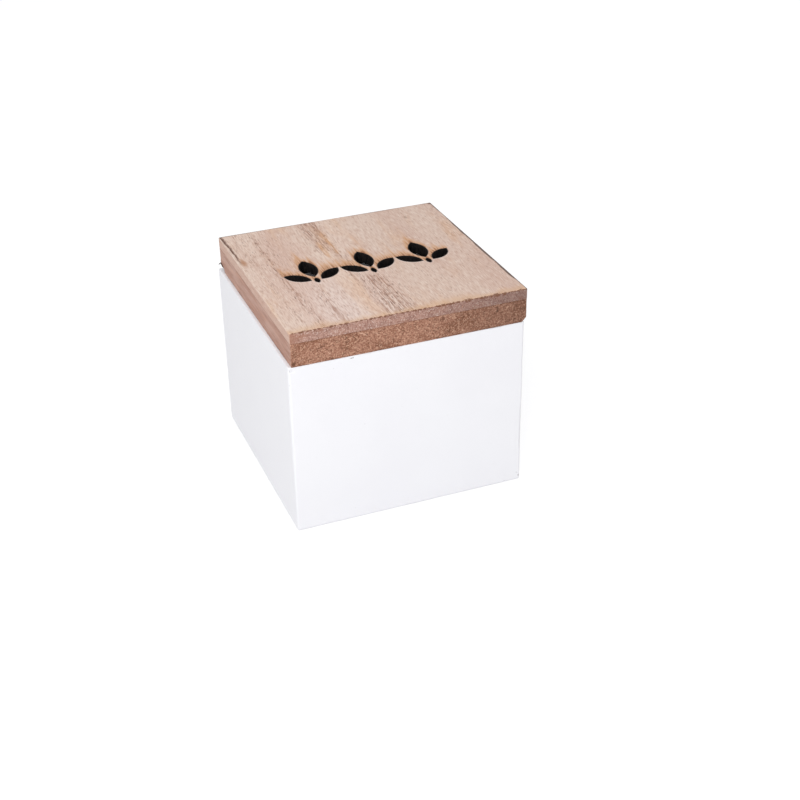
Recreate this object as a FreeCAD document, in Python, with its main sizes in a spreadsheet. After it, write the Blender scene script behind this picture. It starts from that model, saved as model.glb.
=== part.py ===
import FreeCAD, Part

# Square tea box with one compartment and a loose lid.
#
# The body is five painted boards: four walls round a floor panel. The lid is a
# frame of four thick strips under one thin board of light wood, and three leaf
# sprigs are cut right through that board. Four rim strips line the frame and
# hang below it, inside the walls, so that the lid lifts off but can't slide off.
#
# Frame: the origin is the centre of the body's underside, +X is to the right,
# +Y runs from the front to the back and +Z is up. Sizes are in millimetres.

import math
import os

import Sketcher

# alias, value, what it is (millimetres unless the note says otherwise)
SIZES = (
    ("body_width", 100.0, "outside of the body, left to right"),
    ("body_depth", 100.0, "outside of the body, front to back"),
    ("body_height", 75.5, "underside to the top edge of the walls"),
    ("wall_thickness", 6.0, "boards of the four walls"),
    ("floor_thickness", 3.0, "floor panel, flush with the walls' underside"),
    ("body_arris", 1.0, "radius of the body's four upright arrises"),
    ("lid_trim", 0.5, "how much narrower than the body the lid is"),
    ("frame_height", 10.0, "thick lower layer of the lid"),
    ("board_thickness", 4.5, "thin upper layer of the lid"),
    ("lid_arris", 0.8, "radius of the lid's four upright arrises"),
    ("lid_play", 1.2, "gap between rim and walls on each side, lid centred"),
    ("rim_gap_right", 0.2, "what is left of the play on the right, as the loose lid lies"),
    ("rim_gap_front", 0.95, "what is left of the play at the front, as the loose lid lies"),
    ("rim_thickness", 4.0, "strips that line the frame"),
    ("rim_drop", 4.5, "how far the rim hangs below the frame"),
    ("sprig_count", 3, "sprigs in the row, a count"),
    ("sprig_gap", 1.4, "wood left between the tips of two sprigs"),
    ("bridge", 1.2, "wood left between the stem and the leaves"),
    ("bud_length", 16.4, "tall middle leaf"),
    ("bud_width", 7.4, "tall middle leaf, across its belly"),
    ("leaf_length", 12.2, "side leaf"),
    ("leaf_width", 5.8, "side leaf, across its belly"),
    ("leaf_rise", 2.9, "base of a side leaf above the stem's foot"),
    ("leaf_spread", 49.0, "side leaf from upright, degrees"),
    ("stem_length", 4.8, "short pointed stem"),
    ("stem_width", 2.2, "short pointed stem, across its belly"),
)

# Sizes that follow from the driving ones.
INNER_WIDTH = "(sizes.body_width - 2 * sizes.wall_thickness)"
INNER_DEPTH = "(sizes.body_depth - 2 * sizes.wall_thickness)"
LID_WIDTH = "(sizes.body_width - sizes.lid_trim)"
LID_DEPTH = "sizes.body_depth"
RIM_WIDTH = f"({INNER_WIDTH} - 2 * sizes.lid_play)"
RIM_DEPTH = f"({INNER_DEPTH} - 2 * sizes.lid_play)"
FRAME_SIDE = f"(({LID_WIDTH} - {RIM_WIDTH}) / 2)"
FRAME_END = f"(({LID_DEPTH} - {RIM_DEPTH}) / 2)"
LID_X = "(sizes.lid_play - sizes.rim_gap_right)"
LID_Y = "(sizes.rim_gap_front - sizes.lid_play)"
BOARD_Z = "(sizes.body_height + sizes.frame_height)"
RIM_Z = "(sizes.body_height - sizes.rim_drop)"
RIM_HEIGHT = "(sizes.frame_height + sizes.rim_drop)"
BUD_RISE = "(sizes.stem_length + sizes.bridge)"
SPRIG_HEIGHT = f"({BUD_RISE} + sizes.bud_length)"
LEAF_OFFSET = "(sizes.stem_width / 2 + sizes.bridge)"
LEAF_RUN = "(sizes.leaf_length * sin(sizes.leaf_spread * 1 deg))"
LEAF_CLIMB = "(sizes.leaf_length * cos(sizes.leaf_spread * 1 deg))"
SPRIG_PITCH = f"(2 * ({LEAF_OFFSET} + {LEAF_RUN}) + sizes.sprig_gap)"
ROW_LENGTH = f"({SPRIG_PITCH} * (sizes.sprig_count - 1))"

FRONT_CORNERS = ((0, 0), (1, 0))
BACK_CORNERS = ((0, 1), (1, 1))

doc = FreeCAD.newDocument("tea_box")


def make_sheet():
    """Put the driving sizes into the spreadsheet and name each cell."""
    sheet = doc.addObject("Spreadsheet::Sheet", "sizes")
    for row, (alias, value, note) in enumerate(SIZES, start=1):
        sheet.set(f"A{row}", alias)
        sheet.set(f"B{row}", str(value))
        sheet.set(f"C{row}", note)
        sheet.setAlias(f"B{row}", alias)
    doc.recompute()
    return sheet


def value_of(expression):
    """Work out an expression on the sheet as a plain number."""
    return float(sheet.evalExpression(expression))


def plane_of(body, role):
    """Find one of the body's own origin planes."""
    return next(item for item in body.Origin.OriginFeatures if item.Role == role)


def new_sketch(body, name):
    """Start a sketch on the body's own ground plane."""
    sketch = body.newObject("Sketcher::SketchObject", name)
    sketch.AttachmentSupport = [(plane_of(body, "XY_Plane"), "")]
    sketch.MapMode = "FlatFace"
    return sketch


def constrain(sketch, name, expression, *reference):
    """Add a named dimension and bind it to the sheet."""
    index = sketch.addConstraint(Sketcher.Constraint(*reference, value_of(expression)))
    sketch.renameConstraint(index, name)
    sketch.setExpression(f"Constraints.{name}", expression)


def draw_rectangle(sketch, width, depth):
    """Draw a rectangle with its front left corner on the sketch's origin."""
    across = value_of(width)
    along = value_of(depth)
    corners = [FreeCAD.Vector(*at) for at in ((0, 0), (across, 0), (across, along), (0, along))]
    for start, end in zip(corners, corners[1:] + corners[:1]):
        sketch.addGeometry(Part.LineSegment(start, end), False)
    for side in range(4):
        sketch.addConstraint(Sketcher.Constraint("Coincident", side, 2, (side + 1) % 4, 1))
    for side in (0, 2):
        sketch.addConstraint(Sketcher.Constraint("Horizontal", side))
        sketch.addConstraint(Sketcher.Constraint("Vertical", side + 1))
    sketch.addConstraint(Sketcher.Constraint("Coincident", 0, 1, -1, 1))
    constrain(sketch, "width", width, "DistanceX", 0, 1, 0, 2)
    constrain(sketch, "depth", depth, "DistanceY", 1, 1, 1, 2)


def upright_edges(shape, corners):
    """Name the upright edges at the given corners of a board, as (right, back) flags."""
    box = shape.BoundBox
    wanted = {(box.XMax if right else box.XMin, box.YMax if back else box.YMin) for right, back in corners}
    names = []
    for number, edge in enumerate(shape.Edges, start=1):
        first = edge.Vertexes[0].Point
        last = edge.Vertexes[-1].Point
        upright = abs(first.x - last.x) + abs(first.y - last.y) < 1e-6
        if upright and any(math.hypot(first.x - x, first.y - y) < 1e-6 for x, y in wanted):
            names.append(f"Edge{number}")
    return names


def round_corners(body, radius, corners):
    """Round the upright arrises of the body's tip at the given corners."""
    doc.recompute()
    base = body.Tip
    fillet = body.newObject("PartDesign::Fillet", body.Name + "_arris")
    fillet.Base = (base, upright_edges(base.Shape, corners))
    fillet.setExpression("Radius", radius)


def place(body, x, y, z):
    """Put the body's own origin at a point worked out from the sheet."""
    for axis, expression in (("x", x), ("y", y), ("z", z)):
        body.setExpression(f"Placement.Base.{axis}", expression)


def board(label, width, depth, height):
    """Pad a plain rectangular board, with its lower front left corner on its origin."""
    body = doc.addObject("PartDesign::Body", label)
    body.Label = label
    outline = new_sketch(body, label + "_outline")
    draw_rectangle(outline, width, depth)
    pad = body.newObject("PartDesign::Pad", label + "_pad")
    pad.Profile = outline
    pad.setExpression("Length", height)
    return body


def centred_ring(prefix, outer_width, outer_depth, side, end, height, x, y, z):
    """Lay four boards round a centre: front and back run right across, the sides fit between.

    side is the thickness of the left and right boards, end that of the front and back ones.
    """
    between = f"({outer_depth} - 2 * {end})"
    left = f"{x} - {outer_width} / 2"
    right = f"{x} + {outer_width} / 2 - {side}"
    front = f"{y} - {outer_depth} / 2"
    back = f"{y} + {outer_depth} / 2 - {end}"
    ring = {
        "front": (outer_width, end, left, front),
        "back": (outer_width, end, left, back),
        "left": (side, between, left, f"{front} + {end}"),
        "right": (side, between, right, f"{front} + {end}"),
    }
    bodies = {}
    for where, (width, depth, at_x, at_y) in ring.items():
        bodies[where] = board(f"{prefix}_{where}", width, depth, height)
        place(bodies[where], at_x, at_y, z)
    return bodies


def leaf_arcs(base, angle, length, width):
    """Two equal arcs and the axis of a leaf, as shapes; angle is from the X axis, degrees."""
    along = FreeCAD.Vector(math.cos(math.radians(angle)), math.sin(math.radians(angle)), 0)
    across = FreeCAD.Vector(-along.y, along.x, 0)
    tip = base + along * length
    middle = base + along * (length / 2)
    first = Part.Arc(base, middle - across * (width / 2), tip)
    second = Part.Arc(tip, middle + across * (width / 2), base)
    return Part.LineSegment(base, tip), first, second


def draw_leaf(sketch, name, base, angle, length, width):
    """Draw a pointed leaf over an axis line and give back the axis line's number."""
    size = (value_of(length), value_of(width))
    axis_line, first, second = leaf_arcs(base, angle, *size)
    axis = sketch.addGeometry(axis_line, True)
    one = sketch.addGeometry(first, False)
    two = sketch.addGeometry(second, False)
    radius = f"({length} ^ 2 + {width} ^ 2) / (4 * {width})"
    for side, arc in (("first", one), ("second", two)):
        at_base = nearest_end(sketch, arc, base)
        sketch.addConstraint(Sketcher.Constraint("Coincident", arc, at_base, axis, 1))
        sketch.addConstraint(Sketcher.Constraint("Coincident", arc, 3 - at_base, axis, 2))
        constrain(sketch, f"{name}_{side}_radius", radius, "Radius", arc)
    return axis


def nearest_end(sketch, arc, point):
    """Tell which end of an arc, 1 or 2, lies on a point."""
    distances = [(sketch.getPoint(arc, end) - point).Length for end in (1, 2)]
    return 1 + distances.index(min(distances))


def draw_sprig(sketch):
    """Draw a stem, a bud above it and a pair of side leaves, the stem's foot at the origin."""
    upright = 90
    foot = FreeCAD.Vector(0, 0, 0)
    stem = draw_leaf(sketch, "stem", foot, upright, "sizes.stem_length", "sizes.stem_width")
    sketch.addConstraint(Sketcher.Constraint("Coincident", stem, 1, -1, 1))

    bud_base = FreeCAD.Vector(0, value_of(BUD_RISE), 0)
    bud = draw_leaf(sketch, "bud", bud_base, upright, "sizes.bud_length", "sizes.bud_width")
    sketch.addConstraint(Sketcher.Constraint("PointOnObject", bud, 1, -2))
    constrain(sketch, "bud_rise", BUD_RISE, "DistanceY", -1, 1, bud, 1)

    for axis, name in ((stem, "stem"), (bud, "bud")):
        sketch.addConstraint(Sketcher.Constraint("Vertical", axis))
        constrain(sketch, f"{name}_length", f"sizes.{name}_length", "DistanceY", axis, 1, axis, 2)

    base = FreeCAD.Vector(value_of(LEAF_OFFSET), value_of("sizes.leaf_rise"), 0)
    mirrored = FreeCAD.Vector(-base.x, base.y, 0)
    spread = value_of("sizes.leaf_spread")
    size = ("sizes.leaf_length", "sizes.leaf_width")
    right = draw_leaf(sketch, "right", base, upright - spread, *size)
    left = draw_leaf(sketch, "left", mirrored, upright + spread, *size)
    constrain(sketch, "leaf_offset", LEAF_OFFSET, "DistanceX", -1, 1, right, 1)
    constrain(sketch, "leaf_rise", "sizes.leaf_rise", "DistanceY", -1, 1, right, 1)
    constrain(sketch, "leaf_run", LEAF_RUN, "DistanceX", right, 1, right, 2)
    constrain(sketch, "leaf_climb", LEAF_CLIMB, "DistanceY", right, 1, right, 2)
    for end in (1, 2):
        sketch.addConstraint(Sketcher.Constraint("Symmetric", right, end, left, end, -2))


def make_body():
    """Build the painted box: four walls round a floor panel."""
    wall = "sizes.wall_thickness"
    outside = ("sizes.body_width", "sizes.body_depth")
    walls = centred_ring("wall", *outside, wall, wall, "sizes.body_height", "0", "0", "0")
    round_corners(walls["front"], "sizes.body_arris", FRONT_CORNERS)
    round_corners(walls["back"], "sizes.body_arris", BACK_CORNERS)
    floor_panel = board("floor_panel", INNER_WIDTH, INNER_DEPTH, "sizes.floor_thickness")
    place(floor_panel, f"0 - {INNER_WIDTH} / 2", f"0 - {INNER_DEPTH} / 2", "0")
    return list(walls.values()) + [floor_panel]


def make_lid_frame():
    """Build the thick lower layer of the lid, which rests on the walls' top edges."""
    thickness = (FRAME_SIDE, FRAME_END)
    at = (LID_X, LID_Y, "sizes.body_height")
    frame = centred_ring("lid_frame", LID_WIDTH, LID_DEPTH, *thickness, "sizes.frame_height", *at)
    round_corners(frame["front"], "sizes.lid_arris", FRONT_CORNERS)
    round_corners(frame["back"], "sizes.lid_arris", BACK_CORNERS)
    return list(frame.values())


def make_rim():
    """Build the strips that line the lid's frame and reach down inside the walls."""
    thickness = ("sizes.rim_thickness", "sizes.rim_thickness")
    rim = centred_ring("rim", RIM_WIDTH, RIM_DEPTH, *thickness, RIM_HEIGHT, LID_X, LID_Y, RIM_Z)
    return list(rim.values())


def make_lid_board():
    """Build the thin top board and cut the row of sprigs right through it."""
    body = board("lid_board", LID_WIDTH, LID_DEPTH, "sizes.board_thickness")
    round_corners(body, "sizes.lid_arris", FRONT_CORNERS + BACK_CORNERS)
    place(body, f"{LID_X} - {LID_WIDTH} / 2", f"{LID_Y} - {LID_DEPTH} / 2", BOARD_Z)

    sprig = new_sketch(body, "sprig_outline")
    sprig.setExpression("AttachmentOffset.Base.x", f"({LID_WIDTH} - {ROW_LENGTH}) / 2")
    sprig.setExpression("AttachmentOffset.Base.y", f"({LID_DEPTH} - {SPRIG_HEIGHT}) / 2")
    draw_sprig(sprig)
    doc.recompute()
    uncut = body.Tip.Shape.Volume

    cut = body.newObject("PartDesign::Pocket", "sprig_cut")
    cut.Profile = sprig
    cut.Type = "ThroughAll"
    cut.Reversed = True
    doc.recompute()
    one_sprig = uncut - cut.Shape.Volume

    row = body.newObject("PartDesign::LinearPattern", "sprig_row")
    row.Originals = [cut]
    row.Direction = (sprig, ["H_Axis"])
    row.setExpression("Length", ROW_LENGTH)
    row.setExpression("Occurrences", "sizes.sprig_count")
    body.Tip = row
    doc.recompute()
    removed = uncut - body.Shape.Volume
    if one_sprig <= 0 or abs(removed - one_sprig * value_of("sizes.sprig_count")) > 1e-3 * removed:
        raise RuntimeError("the row of sprigs isn't cut through the lid board")
    return [body]


def check(parts):
    """Stop if anything in the document failed, or a part isn't one sound solid."""
    doc.recompute()
    failed = [item.Name for item in doc.Objects if {"Invalid", "Error"} & set(item.State)]
    if failed:
        raise RuntimeError(f"these features failed: {failed}")
    for part in parts:
        sound = not part.Shape.isNull() and part.Shape.isValid()
        if not sound or len(part.Shape.Solids) != 1:
            raise RuntimeError(f"{part.Label} isn't one sound solid")


sheet = make_sheet()
parts = make_body() + make_lid_frame() + make_rim() + make_lid_board()
check(parts)
os.makedirs("parts", exist_ok=True)
for part in parts:
    part.Shape.exportStep(f"parts/{part.Label}.step")
    print(part.Label, round(part.Shape.Volume, 1), part.Shape.BoundBox)
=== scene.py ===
"""Looks of a white wooden tea box with a loose lid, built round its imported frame.

The box has three sub-assemblies: a painted body with one open compartment, the
lid's lower frame of bare fibreboard with the rim strips that line it, and a thin
top board of light wood with a row of leaf sprigs cut through it by a laser.
Every length is in metres, in the frame's own axes: +X right, +Y back, +Z up.
"""

import itertools
import logging
import math
from collections.abc import Callable, Sequence
from dataclasses import dataclass, field
from enum import Enum, IntEnum

import bmesh
import bpy
import numpy as np
from mathutils import Matrix, Vector
from mathutils.geometry import delaunay_2d_cdt


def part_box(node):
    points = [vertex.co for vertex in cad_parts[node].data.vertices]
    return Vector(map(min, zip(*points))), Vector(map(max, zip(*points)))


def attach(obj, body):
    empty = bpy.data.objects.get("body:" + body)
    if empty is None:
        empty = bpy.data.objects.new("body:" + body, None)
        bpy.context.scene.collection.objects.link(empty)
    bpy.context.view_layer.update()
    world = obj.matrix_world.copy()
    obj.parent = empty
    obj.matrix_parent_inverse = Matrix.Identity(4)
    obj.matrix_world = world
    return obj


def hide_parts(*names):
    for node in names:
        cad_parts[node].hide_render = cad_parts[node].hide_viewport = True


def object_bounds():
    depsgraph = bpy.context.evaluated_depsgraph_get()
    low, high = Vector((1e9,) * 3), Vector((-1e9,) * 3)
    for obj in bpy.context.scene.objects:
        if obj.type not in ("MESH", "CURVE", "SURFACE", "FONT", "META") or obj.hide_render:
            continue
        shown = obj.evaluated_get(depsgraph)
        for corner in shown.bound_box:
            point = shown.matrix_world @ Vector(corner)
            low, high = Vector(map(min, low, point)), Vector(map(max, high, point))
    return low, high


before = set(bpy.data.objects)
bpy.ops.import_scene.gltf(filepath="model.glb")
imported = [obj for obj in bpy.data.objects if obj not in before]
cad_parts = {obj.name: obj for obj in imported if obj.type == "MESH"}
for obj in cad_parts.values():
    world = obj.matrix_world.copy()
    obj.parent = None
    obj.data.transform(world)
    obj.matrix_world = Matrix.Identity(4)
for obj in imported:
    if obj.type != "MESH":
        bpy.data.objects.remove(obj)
CAD_LOW, CAD_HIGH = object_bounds()

Colour = tuple[float, float, float, float]
Place = tuple[float, float, float]
Piece = bpy.types.Object
Socket = bpy.types.NodeSocket
Material = bpy.types.Material
Rows = np.ndarray

MM = 0.001
TINY = 1e-9
WELD = 1e-6
WHITE = (1.0, 1.0, 1.0, 1.0)
log = logging.getLogger("tea_box")

# whole numbers that stir the place of a noise cell into a random number
STIR_PLACE = (374761393, 668265263, 1440662683)
STIR_SEED = 974634777
STIR_AGAIN = 1274126177
ALL_BITS = 0xFFFFFFFF
SEED_STEP = 17.31

# how straight a point has to face one way to lie on a flat face
FLAT = 0.97

# a direction that no strand runs along
ACROSS_STRANDS = (0.31, 0.9, 0.17)

# degrees past which an edge of a board stays sharp
SHARP_FROM = 50.0


class Slot(Enum):
    """The material slots."""

    WHITE_PAINT = "white_paint"
    FIBREBOARD = "fibreboard"
    RIM_BOARD = "rim_board"
    LIGHT_WOOD = "light_wood"


class Side(Enum):
    """The four upright sides, as the CAD nodes name them."""

    FRONT = "front"
    BACK = "back"
    LEFT = "left"
    RIGHT = "right"

    @classmethod
    def nodes(cls, stem: str) -> list[str]:
        """Name the four CAD nodes that share a stem."""
        return [f"{stem}_{side.value}" for side in cls]


class Pattern(IntEnum):
    """The random patterns; each number always gives the same one."""

    SWAY = 3
    RIPPLE = 4
    WEAR = 5
    CHIPS = 20
    FIBRE = 31
    CLUMPS = 32
    FOOT_EDGE = 33
    ARRIS = 34
    CLIP = 35
    BRINK = 36
    TEAR = 37
    SAWN = 41
    DRIFT = 51
    WANDER = 52
    BAND_ENDS = 53
    SPOT = 54
    FLARE = 55
    LICKS = 56
    GROOVE = 57
    PITS = 58
    EDGE_CHIPS = 59
    OPENINGS = 60
    CRACK = 62
    CRUST = 71


# ---------------------------------------------------------------- plain sums


def noise_at(points: Rows, cells: float | Sequence[float], seed: int) -> Rows:
    """Work out smooth random values that are the same on every run.

    Args:
        points: Places in metres, one row each.
        cells: Cells of the noise to the metre, along x, y and z or alike along all.
        seed: Number that picks one pattern.

    Returns:
        One value from -1 to 1 for each point.
    """
    scaled = points * np.asarray(cells, float) + SEED_STEP * (seed + 1)
    cell = np.floor(scaled).astype(np.int64)
    part = scaled - cell
    part = part * part * (3.0 - 2.0 * part)
    total = np.zeros(len(points))
    for corner in itertools.product((0, 1), repeat=3):
        mixed = ((cell + np.array(corner)) * STIR_PLACE).sum(axis=1)
        mixed = (mixed + seed * STIR_SEED) & ALL_BITS
        mixed = ((mixed ^ (mixed >> 13)) * STIR_AGAIN) & ALL_BITS
        mixed = mixed ^ (mixed >> 16)
        share = np.prod(np.where(np.array(corner) == 1, part, 1.0 - part), axis=1)
        total += share * (mixed / (ALL_BITS / 2) - 1.0)
    return total


def ease(low: float, high: float, value: Rows) -> Rows:
    """Rise smoothly from 0 at low to 1 at high; a high below low gives a fall."""
    part = np.clip((np.asarray(value, float) - low) / (high - low), 0.0, 1.0)
    return part * part * (3.0 - 2.0 * part)


def linear(red: int, green: int, blue: int) -> Colour:
    """Turn a colour given in screen steps, 0 to 255, into the linear one that shaders take."""
    steps = (value / 255 for value in (red, green, blue))
    return (*(v / 12.92 if v <= 0.04045 else ((v + 0.055) / 1.055) ** 2.4 for v in steps), 1.0)


def inside_loop(places: Rows, loop: Rows) -> Rows:
    """Tell which flat places lie inside a closed loop, by how often a line to the right meets it.

    Args:
        places: Rows of x and y to test.
        loop: Rows of x and y, once round.

    Returns:
        True for each place inside.
    """
    start, end = loop, np.roll(loop, -1, axis=0)
    x, y = places[:, :1], places[:, 1:2]
    spans = (start[:, 1] > y) != (end[:, 1] > y)
    rise = np.where(end[:, 1] == start[:, 1], 1.0, end[:, 1] - start[:, 1])
    meets = start[:, 0] + (y - start[:, 1]) * (end[:, 0] - start[:, 0]) / rise
    return (spans & (meets > x)).sum(axis=1) % 2 == 1


def at_height(flat: Rows, height: float) -> Rows:
    """Lay rows of x and y at one height."""
    return np.c_[flat, np.full(len(flat), height)]


def ripple(flat: Rows, height: float, depth: float, cells: Sequence[float], seed: int) -> Rows:
    """Lay a loop at a height, with its points pushed to and from its middle.

    Args:
        flat: Rows of x and y, once round.
        height: The loop's z.
        depth: The farthest push, in metres.
        cells: Cells of the ripple to the metre, along x, y and z.
        seed: Number that picks one pattern.

    Returns:
        One row of x, y and z for each point.
    """
    level = at_height(flat, height)
    away = level - np.array([*flat.mean(axis=0), height])
    away /= np.maximum(np.linalg.norm(away, axis=1), TINY)[:, None]
    return level + away * (depth * noise_at(level, cells, seed))[:, None] * [1.0, 1.0, 0.0]


@dataclass(frozen=True)
class Extent:
    """The box that some CAD nodes fill together."""

    low: Rows
    high: Rows

    @classmethod
    def of(cls, *nodes: str) -> "Extent":
        """Measure the named CAD nodes at rest.

        Args:
            nodes: Their names.

        Returns:
            The box round them all.
        """
        corners = [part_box(node) for node in nodes]
        low = np.min([np.array(low) for low, _ in corners], axis=0)
        high = np.max([np.array(high) for _, high in corners], axis=0)
        return cls(low, high)

    @property
    def centre(self) -> Rows:
        """The middle of the box."""
        return (self.low + self.high) / 2


# ---------------------------------------------------------------- mesh making


def flat_grid(box: Extent, margin: float, count: int) -> Rows:
    """Lay a square grid of points inside a box, seen from above.

    Args:
        box: The box.
        margin: Metres from the box's sides to the grid.
        count: Points along each side.

    Returns:
        Rows of x and y.
    """
    low, high = box.low[:2] + margin, box.high[:2] - margin
    lines = (np.linspace(low[axis], high[axis], count) for axis in (0, 1))
    return np.stack(np.meshgrid(*lines), axis=-1).reshape(-1, 2)


@dataclass(frozen=True)
class Outline:
    """A rectangle with rounded corners, sampled as the path that a board's walls follow.

    Samples lie closer together near the corners, where the wear is. Every loop taken
    from one outline has the same number of samples, so that loops can be joined.
    """

    box: Extent
    spacing: float
    fine_spacing: float
    fine_zone: float
    arc_steps: int = 5

    def _shares(self, length: float) -> Rows:
        """Space the samples along one side.

        Args:
            length: The side's length.

        Returns:
            The samples as shares of the length, without its ends.
        """
        fine = np.arange(self.fine_spacing, self.fine_zone, self.fine_spacing)
        count = max(2, round((length - 2 * self.fine_zone) / self.spacing) + 1)
        middle = np.linspace(self.fine_zone, length - self.fine_zone, count)
        return np.concatenate([fine, middle, length - fine[::-1]]) / length

    def loop(self, inset: float | Rows, radius: float, height: float) -> Rows:
        """Sample the outline once round, anticlockwise from the front left corner.

        Args:
            inset: How far the loop lies inside the outline, along x and y or alike along both.
            radius: Radius of the loop's corners.
            height: The loop's z.

        Returns:
            One row of x, y and z for each sample.
        """
        left, front = self.box.low[:2] + inset
        right, back = self.box.high[:2] - inset
        centres = (
            (right - radius, front + radius),
            (right - radius, back - radius),
            (left + radius, back - radius),
            (left + radius, front + radius),
        )
        turn = np.linspace(0.0, math.pi / 2, self.arc_steps + 1)
        arcs = [
            np.array(centre) + radius * np.c_[np.cos(turn + start), np.sin(turn + start)]
            for centre, start in zip(centres, (-math.pi / 2, 0.0, math.pi / 2, math.pi))
        ]
        width, depth = (self.box.high - self.box.low)[:2]
        shares = (self._shares(width), self._shares(depth))
        rows = []
        for side in range(4):
            start, end = arcs[side - 1][-1], arcs[side][0]
            rows += [start + shares[side % 2][:, None] * (end - start), arcs[side]]
        return at_height(np.concatenate(rows), height)


class MeshDraft:
    """Gathers the points and faces of one piece before they become an object."""

    def __init__(self) -> None:
        """Start with nothing."""
        self._points: list[Rows] = []
        self._faces: list[tuple[int, ...]] = []
        self._count = 0

    def add(self, points: Rows) -> Rows:
        """Add points to the draft.

        Args:
            points: One row of x, y and z each.

        Returns:
            Their numbers.
        """
        numbers = np.arange(self._count, self._count + len(points))
        self._points.append(np.asarray(points, float))
        self._count += len(points)
        return numbers

    def wall(self, loops: Sequence[Rows], closed: bool = False) -> None:
        """Join each loop of point numbers to the next with four-sided faces.

        Args:
            loops: Closed loops of point numbers, all of one length.
            closed: Whether the last loop is joined to the first as well.
        """
        pairs = list(zip(loops, loops[1:]))
        if closed:
            pairs.append((loops[-1], loops[0]))
        for one, other in pairs:
            rows = np.c_[one, np.roll(one, -1), np.roll(other, -1), other]
            self._faces += [tuple(row) for row in rows.tolist()]

    def stack(self, outline: Outline, levels: Sequence[tuple], closed: bool = False) -> list[Rows]:
        """Stack loops of an outline and join each to the next.

        Args:
            outline: The outline.
            levels: The inset, the corner radius and the height of each loop.
            closed: Whether the last loop is joined to the first as well.

        Returns:
            The loops, as point numbers.
        """
        loops = [self.add(outline.loop(*level)) for level in levels]
        self.wall(loops, closed)
        return loops

    def fill(self, loops: Sequence[Rows], inner: Rows) -> None:
        """Fill the flat space between an outer loop and any holes with triangles.

        Args:
            loops: Loops of point numbers, the outer one first and then the holes.
            inner: Points already added that lie inside, by number.
        """
        numbers = np.concatenate([*loops, inner])
        flat = np.concatenate(self._points)[numbers][:, :2] / MM
        edges, owner, start = [], np.full(len(numbers), -1), 0
        for number, loop in enumerate(loops):
            rim = np.arange(start, start + len(loop))
            edges += np.c_[rim, np.roll(rim, -1)].tolist()
            owner[rim] = number
            start += len(loop)
        inside_outer, slack = 1, 1e-5
        _, _, found, origins, _, _ = delaunay_2d_cdt(flat.tolist(), edges, [], inside_outer, slack)
        faces = np.array([[origins[vertex][0] for vertex in face] for face in found])
        keep = np.full(len(faces), True)
        for number in range(1, len(loops)):
            own = np.flatnonzero((owner[faces] == number).all(axis=1))
            keep[own] = ~inside_loop(flat[faces[own]].mean(axis=1), flat[owner == number])
        self._faces += [tuple(face) for face in numbers[faces[keep]].tolist()]

    def to_object(self, name: str) -> Piece:
        """Make a closed mesh object, at the origin, with its faces outwards.

        Args:
            name: Name of the piece.

        Returns:
            The new object, linked to the scene.
        """
        mesh = bpy.data.meshes.new(name)
        mesh.from_pydata(np.concatenate(self._points).tolist(), [], self._faces)
        work = bmesh.new()
        work.from_mesh(mesh)
        bmesh.ops.remove_doubles(work, verts=work.verts, dist=WELD)
        loose = [vertex for vertex in work.verts if not vertex.link_faces]
        bmesh.ops.delete(work, geom=loose, context="VERTS")
        bmesh.ops.recalc_face_normals(work, faces=work.faces)
        work.to_mesh(mesh)
        work.free()
        mesh.validate()
        piece = bpy.data.objects.new(name, mesh)
        bpy.context.scene.collection.objects.link(piece)
        return piece


def corner_points(piece: Piece) -> tuple[Rows, Rows]:
    """Read a piece's points and the outward direction at each.

    Args:
        piece: The object to read.

    Returns:
        The points and the directions, one row each.
    """
    vertices = piece.data.vertices
    places, outward = (np.zeros(len(vertices) * 3, np.float32) for _ in range(2))
    vertices.foreach_get("co", places)
    vertices.foreach_get("normal", outward)
    return places.reshape(-1, 3).astype(float), outward.reshape(-1, 3).astype(float)


def move_points(piece: Piece, places: Rows) -> None:
    """Put a piece's points where the rows say."""
    piece.data.vertices.foreach_set("co", places.astype(np.float32).ravel())
    piece.data.update()


def store(piece: Piece, name: str, values: Rows) -> None:
    """Keep one number for each point of a piece, for its material to read."""
    layer = piece.data.attributes.new(name, "FLOAT", "POINT")
    layer.data.foreach_set("value", np.asarray(values, np.float32))


def carve(piece: Piece, depth: Callable[[Rows, Rows], Rows]) -> None:
    """Sink a piece's surface by a depth worked out at each point.

    Args:
        piece: The object to change.
        depth: Takes the points and their outward directions, and gives metres inwards.
    """
    places, outward = corner_points(piece)
    move_points(piece, places - outward * depth(places, outward)[:, None])


def settle(
    piece: Piece,
    nodes: Sequence[str],
    material: Material | None = None,
    sharp_from: float | None = None,
) -> Piece:
    """Shade a finished piece, dress it, hand it to the frame and report it.

    Args:
        piece: Finished object at the origin.
        nodes: CAD nodes that it stands for.
        material: Its material, unless it has one already.
        sharp_from: Angle in degrees past which an edge stays sharp; none stays so without it.

    Returns:
        The piece.
    """
    piece.data.shade_smooth()
    if sharp_from is not None:
        piece.data.set_sharp_from_angle(angle=math.radians(sharp_from))
    if material is not None:
        piece.data.materials.append(material)
    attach(piece, "root")
    if nodes:
        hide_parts(*nodes)
    piece.data.calc_loop_triangles()
    log.info("%s: %d triangles", piece.name, len(piece.data.loop_triangles))
    return piece


# ---------------------------------------------------------------- materials


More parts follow.
